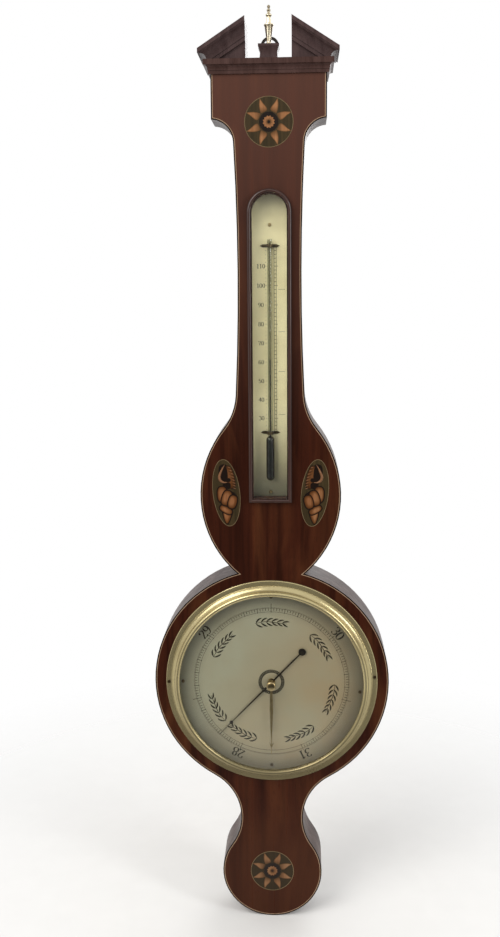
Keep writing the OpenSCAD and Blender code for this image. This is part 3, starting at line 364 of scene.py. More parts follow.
petal_wood = inlay_finish(
    "scorched_petals", [(0.22, 0.09, 0.033), (0.33, 0.15, 0.062), (0.42, 0.235, 0.115)],
    INLAY_SHADE, 0.42, brown=(0.07, 0.032, 0.009),
)
shell_wood = inlay_finish(
    "scorched_shell", [(0.18, 0.063, 0.021), (0.25, 0.106, 0.042), (0.29, 0.16, 0.07)],
    INLAY_SHADE, 0.42, brown=(0.08, 0.026, 0.005),
)
mouth_wood = inlay_finish(
    "shell_mouth", [(0.19, 0.084, 0.039), (0.228, 0.108, 0.05), (0.25, 0.138, 0.066)], INLAY_SHADE, 0.42
)
eye_wood = inlay_finish(
    "flower_eye", [(0.008, 0.005, 0.003), (0.014, 0.008, 0.006), (0.02, 0.013, 0.009)],
    (0.012, 0.006, 0.003), 0.35,
)
ground_wood = inlay_finish(
    "green_ground", [(0.027, 0.019, 0.0075), (0.05, 0.032, 0.0125), (0.066, 0.046, 0.018)],
    (0.018, 0.0095, 0.0026), 0.7,
)
print("inlay finishes ready")

# %% [markdown]
# Old lacquered brass is bright where it is rubbed and browner in patches, and fine specks dull it
# all over. Steel and silver age in the same way, only in other colours, so one group gives the
# patches for all the metals.

# %% Tarnish group
TARNISH_INPUTS = {"Vector": "Vector", "Bright": "Color", "Dull": "Color", "Patch": "Float"}
TARNISH_OUTPUTS = {"Color": "Color", "Mask": "Float", "Fine": "Float"}
tarnish, tarnish_in, tarnish_out = group("tarnish", TARNISH_INPUTS, TARNISH_OUTPUTS)
patch_sockets = {0: tarnish_in["Vector"], "Scale": tarnish_in["Patch"]}
patch_at = add(tarnish, "VectorMath", patch_sockets, operation="SCALE").outputs[0]
patch_noise = {"Vector": patch_at, "Scale": 1.0, "Detail": 6.0, "Roughness": 0.62}
patches = add(tarnish, "TexNoise", patch_noise).outputs["Fac"]
speck_noise = {"Vector": tarnish_in["Vector"], "Scale": 900.0, "Detail": 2.0}
specks = add(tarnish, "TexNoise", speck_noise).outputs["Fac"]
patch_mask = ramp(tarnish, patches, 0.38, 0.66)
patched = blend(tarnish, patch_mask, tarnish_in["Bright"], tarnish_in["Dull"])
tarnish.links.new(patched, tarnish_out["Color"])
tarnish.links.new(patch_mask, tarnish_out["Mask"])
tarnish.links.new(specks, tarnish_out["Fine"])
print("tarnish group:", len(tarnish.nodes), "nodes")

# %% [markdown]
# A metal takes its colour and its roughness from the patches. The turned pieces also show fine
# rings from the lathe. They could be cut into the mesh, but they are finer than a hair, so they are
# a bump: a noise on the distance from the dial's axis. The lower half of the bezel is darkened with
# painted shade, and the tip of the finial turns darker and duller towards its top.

# %% Metal finish
finial_low, finial_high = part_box("brass_finial")
BEZEL_SHADE, BEZEL_SHADE_SHARE = (0.09, 0.07, 0.036), 0.7
DULL, DULL_SHARE = (0.16, 0.13, 0.085), 0.8
DULL_FROM, DULL_TO = finial_low.lerp(finial_high, 0.68).z, finial_low.lerp(finial_high, 0.9).z
BUMP_H, RING_BUMP, SPECK_BUMP = 0.1 * MM, 0.12, 0.06


def worn_of(tree, bright, dull, patch):
    tones = {"Bright": bright, "Dull": dull, "Patch": patch}
    return place(tree, tarnish, {"Vector": where(tree), **tones})


def from_dial(tree):
    parts = axes(tree)
    up = calc(tree, "SUBTRACT", parts["Z"], dial_at.z)
    across = calc(tree, "MULTIPLY", parts["X"], parts["X"])
    return calc(tree, "SQRT", calc(tree, "MULTIPLY_ADD", up, up, across))


def lathe_rings(tree, per_metre):
    sockets = {"W": calc(tree, "MULTIPLY", from_dial(tree), per_metre), "Scale": 1.0, "Detail": 3.0}
    return add(tree, "TexNoise", sockets, noise_dimensions="1D").outputs["Fac"]


def low_half(tree, colour):
    # Painted shade: a dark brown over the lower half of the bezel.
    share = level(tree, dial_at.z - dial_r, dial_at.z, BEZEL_SHADE_SHARE, 0.0)
    return blend(tree, share, colour, BEZEL_SHADE)


def dull_tip(tree, colour):
    return blend(tree, level(tree, DULL_FROM, DULL_TO, 0.0, DULL_SHARE), colour, DULL)


def metal_finish(name, bright, dull, patch, smooth, rough, metallic=1.0, rings=0.0, place_tone=None):
    made, tree, shader = material(name, {"Metallic": metallic})
    worn = worn_of(tree, bright, dull, patch)
    colour = place_tone(tree, worn["Color"]) if place_tone else worn["Color"]
    tree.links.new(colour, shader.inputs["Base Color"])
    tree.links.new(ramp(tree, worn["Mask"], 0.0, 1.0, smooth, rough), shader.inputs["Roughness"])
    if rings:
        bump(tree, shader, lathe_rings(tree, rings), RING_BUMP, BUMP_H)
    else:
        bump(tree, shader, worn["Fine"], SPECK_BUMP, BUMP_H)
    return made


print("metal finish ready")

# %% [markdown]
# After the two colours of a metal come the patches to the metre and its least and greatest
# roughness. The bezel is held at less than full metal, because its lacquer has gone cloudy.

# %% Metals
bezel_brass = metal_finish(
    "turned_brass", (0.5, 0.425, 0.225), (0.42, 0.345, 0.175), 24.0, 0.2, 0.28,
    metallic=0.75, rings=2600.0, place_tone=low_half,
)
finial_brass = metal_finish(
    "rubbed_brass", (0.88, 0.8, 0.62), (0.74, 0.63, 0.42), 160.0, 0.3, 0.42, place_tone=dull_tip
)
dark_brass = metal_finish(
    "dark_brass", (0.13, 0.095, 0.05), (0.06, 0.044, 0.026), 200.0, 0.3, 0.5
)
aged_brass = metal_finish(
    "aged_brass", (0.3, 0.23, 0.11), (0.2, 0.145, 0.065), 120.0, 0.3, 0.5
)
small_brass = metal_finish(
    "small_brass", (0.66, 0.52, 0.26), (0.4, 0.29, 0.13), 120.0, 0.2, 0.4
)
knob_brass = metal_finish("knob_brass", (0.46, 0.37, 0.2), (0.3, 0.22, 0.1), 150.0, 0.1, 0.2)
blued_steel = metal_finish(
    "blued_steel", (0.058, 0.047, 0.03), (0.036, 0.028, 0.018), 150.0, 0.26, 0.42
)
bright_steel = metal_finish(
    "bright_steel", (0.56, 0.56, 0.57), (0.4, 0.39, 0.38), 150.0, 0.22, 0.4
)
black_iron = metal_finish(
    "black_iron", (0.05, 0.045, 0.042), (0.03, 0.022, 0.018), 160.0, 0.42, 0.6, metallic=0.8
)
quicksilver = metal_finish(
    "quicksilver", (0.62, 0.63, 0.65), (0.52, 0.53, 0.55), 60.0, 0.04, 0.1
)
dark_mercury = metal_finish(
    "dark_mercury", (0.02, 0.02, 0.022), (0.01, 0.01, 0.011), 90.0, 0.08, 0.16
)
print("metals ready")

# %% [markdown]
# The dial and the thermometer plate are silvered brass under old lacquer: a soft greyish cream,
# warmer in patches, with the faint rings of the cloth that rubbed the silver on. The rim of the
# dial is darkened next to the bezel with painted shade, and the ends of the thermometer plate are
# darker, partly from tarnish and partly from painted shade. A painted reflection of the room makes
# the cream warmer towards the lower right. Full metal would mirror the room, and these plates
# hardly do, so Metallic stays low.

# %% Silvered plates
scale_low, scale_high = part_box("thermo_scale")
RIM_FROM, RIM_TO, RIM_SHARE, RIM_DRIFT = 0.8 * dial_r, 1.1 * dial_r, 0.75, 0.02
FOOT_TO, FOOT_FROM, END_DRIFT = scale_low.z + 0.02, scale_low.z + 0.12, 0.06
TOP_FROM, TOP_TO, TOP_SHARE = scale_high.z - 0.015, scale_high.z + 0.03, 0.5
CLOUDS, CLOUD_DRIFT = 11.0, 0.16
# A painted reflection of the room: the cream is warmer towards the lower right.
REFLECTION_SLOPE, REFLECTION_FROM, REFLECTION_TO = -0.45, -0.05, 0.07


# Painted shade of the bezel: the dial darkens towards its rim.
def dial_rim(tree, drift):
    radius = calc(tree, "MULTIPLY_ADD", drift, RIM_DRIFT, from_dial(tree))
    return ramp(tree, radius, RIM_FROM, RIM_TO, 0.0, RIM_SHARE)


# The plate darkens towards both ends, partly from tarnish and partly from painted shade.
def scale_ends(tree, drift):
    height = calc(tree, "MULTIPLY_ADD", drift, END_DRIFT, axes(tree)["Z"])
    foot = ramp(tree, height, FOOT_TO, FOOT_FROM, 1.0, 0.0)
    top = ramp(tree, height, TOP_FROM, TOP_TO, 0.0, TOP_SHARE)
    return calc(tree, "MAXIMUM", foot, top)


def silver_finish(name, cool, warm, dull, shade_colour, painted_shade, patch, metallic, rings):
    made, tree, shader = material(name, {"Metallic": metallic})
    clouds = {"Vector": where(tree), "Scale": CLOUDS, "Detail": 3.0}
    drift = add(tree, "TexNoise", clouds).outputs["Fac"]
    parts = axes(tree)
    up = calc(tree, "SUBTRACT", parts["Z"], dial_at.z)
    # Painted reflection: a slope towards the lower right, broken up by the clouds.
    reflection_slope = calc(tree, "MULTIPLY_ADD", up, REFLECTION_SLOPE, parts["X"])
    cloud = calc(tree, "SUBTRACT", drift, 0.5)
    uneven = calc(tree, "MULTIPLY_ADD", cloud, CLOUD_DRIFT, reflection_slope)
    bright = blend(tree, ramp(tree, uneven, REFLECTION_FROM, REFLECTION_TO), cool, warm)
    worn = worn_of(tree, bright, dull, patch)
    colour = blend(tree, painted_shade(tree, drift), worn["Color"], shade_colour)
    tree.links.new(colour, shader.inputs["Base Color"])
    tree.links.new(ramp(tree, worn["Mask"], 0.0, 1.0, 0.36, 0.5), shader.inputs["Roughness"])
    bump(tree, shader, lathe_rings(tree, rings) if rings else worn["Fine"], 0.1, BUMP_H)
    return made


dial_silver = silver_finish(
    "silvered_dial", (0.36, 0.343, 0.245), (0.348, 0.264, 0.154), (0.325, 0.292, 0.195),
    (0.1, 0.096, 0.07), dial_rim, patch=16.0, metallic=0.3, rings=1500.0,
)
scale_silver = silver_finish(
    "silvered_scale", (0.94, 0.85, 0.52), (0.9, 0.8, 0.47), (0.8, 0.71, 0.41),
    (0.105, 0.098, 0.064), scale_ends, patch=26.0, metallic=0.0, rings=0.0,
)
print("silvered:", dial_silver.name, scale_silver.name)

# %% [markdown]
# The wax in the engraving is dull and has greyed in places. Silk shows its twist as slanting bands.
# Old glass is a little uneven, so a slow noise bends its surface. Light has to reach what lies
# behind the glass, so a shadow ray meets a clear shader instead.

# %% Wax, silk and glass
def wax_finish():
    made, tree, shader = material("black_wax", {"Roughness": 0.6, "Specular IOR Level": 0.1})
    worn = worn_of(tree, (0.01, 0.008, 0.005), (0.04, 0.033, 0.022), 180.0)
    tree.links.new(worn["Color"], shader.inputs["Base Color"])
    return made


def silk_finish():
    made, tree, shader = material("waxed_silk", {"Roughness": 0.7})
    sockets = {"Vector": where(tree), "Scale": 900.0, "Distortion": 1.0}
    twist = add(tree, "TexWave", sockets, bands_direction="DIAGONAL").outputs["Fac"]
    colour = blend(tree, twist, (0.5, 0.45, 0.34), (0.72, 0.67, 0.54))
    tree.links.new(colour, shader.inputs["Base Color"])
    return made


def glass_finish(name, tint):
    plain = {"Roughness": 0.0, "IOR": 1.5, "Transmission Weight": 1.0}
    made, tree, shader = material(name, plain)
    slow = {"Vector": where(tree), "Scale": 14.0, "Detail": 1.0}
    ripple = add(tree, "TexNoise", slow).outputs["Fac"]
    thick = [0.96 * part for part in tint]
    tree.links.new(blend(tree, ripple, tint, thick), shader.inputs["Base Color"])
    bump(tree, shader, ripple, 0.02, 1.0 * MM)
    clear = add(tree, "BsdfTransparent", {"Color": tint}).outputs[0]
    shadow = add(tree, "LightPath").outputs["Is Shadow Ray"]
    either = add(tree, "MixShader", {0: shadow, 1: shader.outputs[0], 2: clear}).outputs[0]
    tree.links.new(either, tree.nodes["Material Output"].inputs["Surface"])
    return made


black_wax, waxed_silk = wax_finish(), silk_finish()
pane_glass = glass_finish("old_pane", (0.97, 0.98, 0.96))
tube_glass = glass_finish("drawn_tube", (0.95, 0.97, 0.95))
# The tube is tinted dark grey: partly for its fine bore, partly as painted shade.
bore_and_shade_glass = glass_finish("bore_and_shade_tube", (0.54, 0.55, 0.5))
print("wax, silk and glass ready")

# %% [markdown]
# Each solid now takes its finish. The table goes from finish to nodes, and the line printed at the
# end shows that none was missed.

# %% Give the solids their finishes
FINISHES = {
    veneer_wood: ["front_veneer"],
    side_wood: ["case_carcass"],
    cover_wood: ["channel_covers", "back_door"],
    cornice_wood: ["cornice"],
    pediment_wood: [
        "left_tympanum", "right_tympanum", "left_crown", "right_crown", "finial_plinth",
    ],
    frame_wood: ["thermo_frame"],
    band_wood: ["edge_banding"],
    box_wood: ["edge_stringing"],
    border_wood: ["inlay_borders"],
    block_wood: ["tube_cradles", "tube_wedges", "siphon_block"],
    eye_wood: ["flower_centres"],
    ground_wood: ["inlay_grounds"],
    petal_wood: ["flower_petals", "shell_whorls"],
    bezel_brass: ["bezel", "glass_ring"],
    finial_brass: ["brass_finial"],
    aged_brass: ["set_hand", "set_arbor"],
    knob_brass: ["set_knob"],
    small_brass: [
        "thermo_pins", "glass_bush", "hand_collet", "pulley", "arbor_bush", "pivot_cock",
        "counterweight", "case_hinge_leaves", "door_hinge_leaves", "case_screws", "door_screws",
    ],
    dark_brass: ["thermo_clips", "dial_screws", "bezel_screws"],
    blued_steel: ["indicator_hand"],
    bright_steel: ["hand_arbor", "hinge_pins"],
    black_iron: ["hanging_plate"],
    quicksilver: ["mercury_column", "mercury_surface"],
    dark_mercury: ["thermo_mercury"],
    dial_silver: ["dial_plate"],
    scale_silver: ["thermo_scale"],
    waxed_silk: ["thread_turns", "float_thread", "counterweight_thread"],
    pane_glass: ["bezel_glass", "thermo_glass"],
    bore_and_shade_glass: ["thermo_tube"],
    tube_glass: ["siphon_tube", "guide_tube", "float"],
}
dressed = set()
for finish, names in FINISHES.items():
    for name in names:
        slots = nodes[name].data.materials
        slots.clear()
        slots.append(finish)
        dressed.add(name)
print("dressed:", len(dressed), "left:", sorted(set(nodes) - dressed))

# %% [markdown]
# Every new piece is finished in the same way: its faces are turned outwards, it takes its finish,
# and it becomes an object at the origin.

# %% Finish a piece
def finish_piece(name, bm, finish):
    bmesh.ops.recalc_face_normals(bm, faces=bm.faces)
    mesh = bpy.data.meshes.new(name)
    bm.to_mesh(mesh)
    bm.free()
    mesh.materials.append(finish)
    piece = bpy.data.objects.new(name, mesh)
    bpy.context.scene.collection.objects.link(piece)
    print(name + ":", len(mesh.polygons), "faces")
    return piece


print("piece helper ready")

# %% [markdown]
# Engraved lines are cut with a graver and filled with black wax. Lines that are only in a material
# would be missing from the mesh, so they are pieces of their own. A curve with a width at each
# point is the nearest thing in Blender to the graver's swelling line. The curves become one mesh,
# which is pressed almost flat and set on the plate.

# %% Engraving helper
WAX_T = 0.08 * MM


def drawn_mesh(name, strokes):
    curve = bpy.data.curves.new(name, "CURVE")
    curve.dimensions = "3D"
    curve.bevel_depth = 1.0
    curve.bevel_resolution = 0
    curve.use_fill_caps = True
    for points, widths, closed in strokes:
        spline = curve.splines.new("POLY")
        spline.points.add(len(points) - 1)
        spline.use_cyclic_u = closed
        for point, (x, z), width in zip(spline.points, points, widths):
            point.co = (x, 0.0, z, 1.0)
            point.radius = width / 2
    drawn = bpy.data.objects.new(name + "_curve", curve)
    bpy.context.scene.collection.objects.link(drawn)
    bpy.context.view_layer.update()
    seen = drawn.evaluated_get(bpy.context.evaluated_depsgraph_get())
    mesh = bpy.data.meshes.new_from_object(seen)
    bpy.data.objects.remove(drawn)
    return mesh


def engrave(name, strokes, front, finish):
    mesh = drawn_mesh(name, strokes)
    bm = bmesh.new()
    bm.from_mesh(mesh)
    bpy.data.meshes.remove(mesh)
    widest = max(max(widths) for points, widths, closed in strokes)
    bmesh.ops.scale(bm, vec=(1.0, WAX_T / widest, 1.0), verts=bm.verts)
    bmesh.ops.translate(bm, vec=(0.0, front, 0.0), verts=bm.verts)
    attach(finish_piece(name, bm, finish), "case")


print("wax thickness, mm:", WAX_T / MM)

# %% [markdown]
# A stroke is a list of points, their widths, and whether it closes on itself. A plain line and a
# ring keep one width, and a leaf swells in its middle. A few points are joined by a smooth curve,
# which passes through each of them.

# %% Strokes
def line(a, b, width):
    return [a, b], [width, width], False


def on_dial(radius, turn):
    return dial_at.x + radius * math.sin(turn), dial_at.z + radius * math.cos(turn)


def ring(radius, width, steps):
    points = [on_dial(radius, 2 * math.pi * k / steps) for k in range(steps)]
    return points, [width] * steps, True


def swelling(path, widest, least=0.12 * MM):
    last = len(path) - 1
    widths = [least + widest * math.sin(math.pi * k / last) for k in range(last + 1)]
    return path, widths, False


def between(p, q, r, s, t):
    bend = (2 * p - 5 * q + 4 * r - s) * t * t + (3 * q - p - 3 * r + s) * t ** 3
    return 0.5 * (2 * q + (r - p) * t + bend)


def smooth(points, steps=6):
    if len(points) < 3:
        return points
    ends = [points[0], *points, points[-1]]
    path = []
    for four in zip(ends, ends[1:], ends[2:], ends[3:]):
        for k in range(steps):
            path.append(tuple(between(*parts, k / steps) for parts in zip(*four)))
    return path + [points[-1]]


print("points in a smoothed corner:", len(smooth([(0, 0), (1, 1), (2, 0)])))

# %% [markdown]
# The figures have thick upright strokes and thin level ones, as engravers cut them. A figure is a
# few points in a box one unit high, joined by a smooth curve, and the width follows how upright
# the stroke is. A font could give them too, but its lines would not swell as a graver's do. A 9
# is a 6 turned round.

# %% Points of the figures
def oval(x, z, half_w, half_h, steps=20):
    turns = [2 * math.pi * k / steps for k in range(steps + 1)]
    return [(x + half_w * math.cos(a), z + half_h * math.sin(a)) for a in turns]


OVAL_POINTS = len(oval(0.0, 0.0, 1.0, 1.0))
FIGURE_BOX, FIGURE_STEP = 0.62, 0.72
FIGURES = {
    "0": [oval(0.31, 0.5, 0.26, 0.5)],
    "1": [[(0.14, 0.82), (0.34, 1.0)], [(0.34, 1.0), (0.34, 0.0)], [(0.14, 0.0), (0.54, 0.0)]],
    "2": [
        [(0.07, 0.74), (0.14, 0.93), (0.33, 1.0), (0.54, 0.88), (0.52, 0.64), (0.28, 0.34),
         (0.05, 0.02)],
        [(0.05, 0.03), (0.32, 0.05), (0.56, 0.0), (0.6, 0.16)],
    ],
    "3": [
        [(0.06, 0.84), (0.18, 0.98), (0.36, 0.99), (0.52, 0.85), (0.47, 0.64), (0.24, 0.54)],
        [(0.24, 0.54), (0.5, 0.48), (0.57, 0.26), (0.44, 0.05), (0.22, 0.0), (0.05, 0.14)],
    ],
    "4": [[(0.46, 1.0), (0.46, 0.0)], [(0.46, 1.0), (0.02, 0.3)], [(0.02, 0.3), (0.62, 0.3)]],
    "5": [
        [(0.54, 0.98), (0.15, 0.98)],
        [(0.15, 0.98), (0.1, 0.55)],
        [(0.1, 0.55), (0.32, 0.63), (0.54, 0.48), (0.54, 0.2), (0.36, 0.02), (0.16, 0.0),
         (0.05, 0.13)],
    ],
    "6": [
        [(0.52, 0.9), (0.38, 1.0), (0.16, 0.82), (0.06, 0.42), (0.14, 0.08), (0.33, 0.0),
         (0.53, 0.14), (0.53, 0.42), (0.33, 0.56), (0.14, 0.44), (0.08, 0.3)],
    ],
    "7": [[(0.05, 0.8), (0.07, 0.98), (0.58, 0.98)], [(0.58, 0.98), (0.36, 0.5), (0.26, 0.0)]],
    "8": [oval(0.31, 0.76, 0.2, 0.24), oval(0.31, 0.26, 0.26, 0.26)],
}
FIGURES["9"] = [[(FIGURE_BOX - x, 1.0 - z) for x, z in stroke] for stroke in FIGURES["6"]]
print("figures:", "".join(sorted(FIGURES)))

# %% [markdown]
# A number is set out about its centre and turned with the dial. Ovals already have enough points,
# so only the other strokes are smoothed.

# %% Engraved numbers
def pen_width(path, i, thick, thin):
    (x0, z0), (x1, z1) = path[max(i - 1, 0)], path[min(i + 1, len(path) - 1)]
    upright = abs(z1 - z0) / max(math.hypot(x1 - x0, z1 - z0), 1e-9)
    return thin + (thick - thin) * upright ** 2


def number(text, centre, height, turn, thick, thin):
    strokes = []
    start = (FIGURE_STEP - FIGURE_BOX) / 2 - FIGURE_STEP * len(text) / 2
    cos, sin = math.cos(turn), math.sin(turn)
    for k, sign in enumerate(text):
        for stroke in FIGURES[sign]:
            path = stroke if len(stroke) == OVAL_POINTS else smooth(stroke)
            widths = [height * pen_width(path, i, thick, thin) for i in range(len(path))]
            placed = []
            for x, z in path:
                u, v = (x + start + k * FIGURE_STEP) * height, (z - 0.5) * height
                placed.append((centre[0] + u * cos + v * sin, centre[1] - u * sin + v * cos))
            strokes.append((placed, widths, False))
    return strokes


print("strokes in 28:", len(number("28", (0.0, 0.0), MM, 0.0, 0.15, 0.05)))

# %% [markdown]
# The dial reads inches of mercury, from 28 to 31, on a ring of hundredths. The figures stand with
# their heads outwards. Inside the ring are sprigs of engraved leaves, and a toothed ring surrounds
# the centre. A sprig is a waved stem with leaves in pairs that get shorter towards its tip.

# %% Sprigs of leaves
SPRIG_R, SPRIG_SPREAD = 66.0 * MM, math.radians(14.5)
SPRIG_LEAVES, STEM_STEPS = 6, 16
LEAF = [(0.0, 0.0), (0.45, 0.1), (0.85, 0.26), (1.0, 0.42)]


def sprig(turn):
    stem = []
    for k in range(STEM_STEPS + 1):
        wave = 0.6 * MM * math.sin(2 * math.pi * k / STEM_STEPS)
        stem.append(on_dial(SPRIG_R + wave, turn + SPRIG_SPREAD * (2 * k / STEM_STEPS - 1)))
    strokes = [swelling(stem, 0.5 * MM, 0.3 * MM)]
    for k in range(SPRIG_LEAVES):
        root = turn + SPRIG_SPREAD * (2 * (k + 0.1) / SPRIG_LEAVES - 1)
        for side in (-1, 1):
            reach = side * (4.9 - 0.4 * k) * MM
            leaf = [on_dial(SPRIG_R + reach * out, root + SPRIG_SPREAD * on) for out, on in LEAF]
            strokes.append(swelling(smooth(leaf, 4), 1.5 * MM, 0.2 * MM))
    return strokes


print("strokes in a sprig:", len(sprig(0.0)))

# %% [markdown]
# A division of the scale is longer where it counts more. The table gives, for every so many
# hundredths of an inch, how many millimetres its line runs in and out from the ring and how wide it
# is. The first row that fits is taken.

# %% Dial engraving
INCH_TURN, ZERO_TURN = math.radians(104.0), math.radians(-52.0)
RING_IN, RING_OUT, RING_W, RING_STEPS = 77.0 * MM, 81.0 * MM, 0.3 * MM, 160
HAIR_R, HAIR_W = RING_OUT + 0.9 * MM, 0.14 * MM
DIVISIONS = [(100, 1.0, 2.6, 0.45), (50, 0.8, 5.0, 0.5), (10, 0.6, 0.9, 0.5), (2, -1.2, 0.0, 0.5)]
FIGURE_R, FIGURE_H = 88.0 * MM, 9.5 * MM
SPRIGS_AT = [-118, -52, 0, 52, 106, 152, -152]
CENTRE_RINGS, CENTRE_STEPS = [(10.6 * MM, 0.7 * MM), (13.0 * MM, 0.5 * MM)], 96
TEETH, TOOTH_IN, TOOTH_OUT, TOOTH_W, TOOTH_LEAN = 44, 10.7 * MM, 13.8 * MM, 1.3 * MM, 0.09


def inch(value):
    return ZERO_TURN + (value - 29.0) * INCH_TURN


scale_rings = [(RING_IN, RING_W), (RING_OUT, RING_W), (HAIR_R, HAIR_W)]
dial_strokes = [ring(radius, width, RING_STEPS) for radius, width in scale_rings]
for hundredths in range(2800, 3101, 2):
    inward, outward, width = next(row[1:] for row in DIVISIONS if hundredths % row[0] == 0)
    turn = inch(hundredths / 100.0)
    start, end = on_dial(RING_IN - inward * MM, turn), on_dial(RING_OUT + outward * MM, turn)
    dial_strokes.append(line(start, end, width * MM))
for value in (28, 29, 30, 31):
    centre = on_dial(FIGURE_R, inch(value))
    dial_strokes += number(str(value), centre, FIGURE_H, inch(value), 0.18, 0.055)
for degrees in SPRIGS_AT:
    dial_strokes += sprig(math.radians(degrees))
dial_strokes += [ring(radius, width, CENTRE_STEPS) for radius, width in CENTRE_RINGS]
for k in range(TEETH):
    turn = 2 * math.pi * k / TEETH
    root, tip = on_dial(TOOTH_IN, turn), on_dial(TOOTH_OUT, turn + TOOTH_LEAN)
    dial_strokes.append(line(root, tip, TOOTH_W))
engrave("dial_engraving", dial_strokes, dial_low.y, black_wax)

# %% [markdown]
# The inlays are slips of thin wood on green grounds. The slips made below stand for plainer solid
# ones, whose pockets would show between them. So each ground first gets one unbroken face: a circle
# made a ring round the middle of the flower, or stretched to the oval of the shell. New shapes lie
# flat when they are made, and a turn about X stands them up to face the front.

# %% Faces of the inlay grounds
flower_low, flower_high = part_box("flower_centres")
flower_r = (flower_high.x - flower_low.x) / 2
flower_z = (flower_low.z + flower_r, flower_high.z - flower_r)
ground_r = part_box("inlay_grounds")[1].z - flower_z[1]
inlay_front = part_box("shell_whorls")[0].y
SHELL_X, SHELL_Z, SHELL_LEAN = 45.0 * MM, dial_at.z + 203.0 * MM, 6.0
SHELL_HALF_W, SHELL_HALF_L = 13.3 * MM, 34.3 * MM
PROUD, BEDDED = 0.02 * MM, 0.1 * MM
UPRIGHT = Matrix.Rotation(math.pi / 2, 4, "X")


def new_disc(bm, segments):
    old = set(bm.verts)
    bmesh.ops.create_circle(bm, cap_ends=True, segments=segments, radius=1.0)
    return old, next(face for face in bm.faces if face.verts[0] not in old)


def thicken(bm, old, depth):
    faces = [face for face in bm.faces if face.verts[0] not in old]
    solid = bmesh.ops.extrude_face_region(bm, geom=faces)
    back = [part for part in solid["geom"] if isinstance(part, bmesh.types.BMVert)]
    bmesh.ops.translate(bm, vec=(0.0, depth, 0.0), verts=back)


def leaned_oval(half_w, half_l, degrees):
    lean = Matrix.Rotation(-math.radians(degrees), 4, "Z")
    return UPRIGHT @ lean @ Matrix.Diagonal((half_w, half_l, 1.0, 1.0))


def add_ground(bm, x, z, shape, hole):
    old, face = new_disc(bm, segments=96)
    if hole:
        bmesh.ops.inset_individual(bm, faces=[face], thickness=1.0 - hole)
        bmesh.ops.delete(bm, geom=[face], context="FACES")
    put = Matrix.Translation((x, inlay_front - PROUD, z)) @ shape
    bmesh.ops.transform(bm, matrix=put, verts=[vert for vert in bm.verts if vert not in old])
    thicken(bm, old, BEDDED)


bm = bmesh.new()
for z in flower_z:
    add_ground(bm, 0.0, z, leaned_oval(ground_r, ground_r, 0.0), flower_r / ground_r)
for side in (-1, 1):
    shape = leaned_oval(SHELL_HALF_W, SHELL_HALF_L, side * SHELL_LEAN)
    add_ground(bm, side * SHELL_X, SHELL_Z, shape, 0.0)
ground_faces = finish_piece("ground_faces", bm, ground_wood)
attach(ground_faces, "case")

# %% [markdown]
# A slip starts as a flat face. An inset of no width doubles its rim, the inner rim is then scaled,
# and poking gives it a middle. The scorching is kept at those points. A flower has a scalloped boss
# that is burnt through in its middle, and four pairs of petals. A petal is half a leaf, with a
# straight outer edge and a belly towards the middle of its pair, so its outline is given as points
# and the operators do the rest.

# %% Slips of scorched wood
def lay_slip(bm, old, face, put, lift, tone, inner=0.6, rim=0.0):
    shade = bm.verts.layers.float["shade"]
    edge, centre = set(face.verts), face.calc_center_median()
    bmesh.ops.inset_individual(bm, faces=[face], thickness=0.0)
    about = Matrix.Translation(-centre)
    bmesh.ops.scale(bm, vec=(inner, inner, 1.0), space=about, verts=face.verts)
    bmesh.ops.poke(bm, faces=[face])
    new = [vert for vert in bm.verts if vert not in old]
    for vert in new:
        vert[shade] = rim if vert in edge else tone(vert.co)
    bmesh.ops.transform(bm, matrix=put, verts=new)
    thicken(bm, old, lift + BEDDED)


def slip_mesh():
    bm = bmesh.new()
    bm.verts.layers.float.new("shade")
    return bm


print("slips are bedded, mm:", BEDDED / MM)

# %% [markdown]
# The boss is a disc whose rim is waved twelve times. Its middle has a shade below 0, so that a dark
# spot of some size is left there. A petal is darkest at its root.

# %% Flower petals
PETAL = [
    (7.4, 7.7), (8.6, 11.0), (9.2, 15.0), (9.0, 18.6), (8.4, 21.2),
    (6.2, 18.0), (3.8, 15.3), (1.9, 12.7), (1.8, 10.5), (4.2, 9.0),
]
FLOWER_LIFT, FLOWER_PALE = 0.05 * MM, 0.75
SCALLOPS, BOSS_R, SCALLOP_H, BOSS_BURN = 12, 0.58, 0.05, -0.35


def boss_tone(co):
    return FLOWER_PALE if co.length > 0.1 * flower_r else BOSS_BURN


def petal_tone(co):
    return min(FLOWER_PALE, (co.y / MM - 7.0) / 10.0)


def add_boss(bm, put):
    old, face = new_disc(bm, segments=96)
    for vert in face.verts:
        wave = math.cos(SCALLOPS * math.atan2(vert.co.x, vert.co.y))
        vert.co *= flower_r * (BOSS_R - SCALLOP_H * wave)
    lay_slip(bm, old, face, put, FLOWER_LIFT, boss_tone, inner=0.7, rim=FLOWER_PALE)


def add_petal(bm, put, side):
    old = set(bm.verts)
    outline = smooth([*PETAL, PETAL[0]], 3)[:-1]
    verts = [bm.verts.new((side * across * MM, out * MM, 0.0)) for across, out in outline]
    lay_slip(bm, old, bm.faces.new(verts), put, FLOWER_LIFT, petal_tone, rim=0.15)


bm = slip_mesh()
for z in flower_z:
    put = Matrix.Translation((0.0, inlay_front - FLOWER_LIFT, z)) @ UPRIGHT
    add_boss(bm, put)
    for quarter in range(4):
        for side in (-1, 1):
            add_petal(bm, put @ Matrix.Rotation(quarter * math.pi / 2, 4, "Z"), side)
flower_leaves = finish_piece("flower_leaves", bm, petal_wood)
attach(flower_leaves, "case")
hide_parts("flower_petals")

# %% [markdown]
# A shell is a stack of lobes that overlap: the mouth with its hollows, then the tip, the band above
# it and the three whorls of the body. Each lobe is a circle that is squared a little, stretched,
# leaned and narrowed towards its lower end. Each pale one lies on a burnt one a little larger, and
# one side of it is scorched further in. The right shell is the left one reversed.

# %% Shell lobes
BURNT, BROWN, PALE = 0.0, 0.36, 1.0
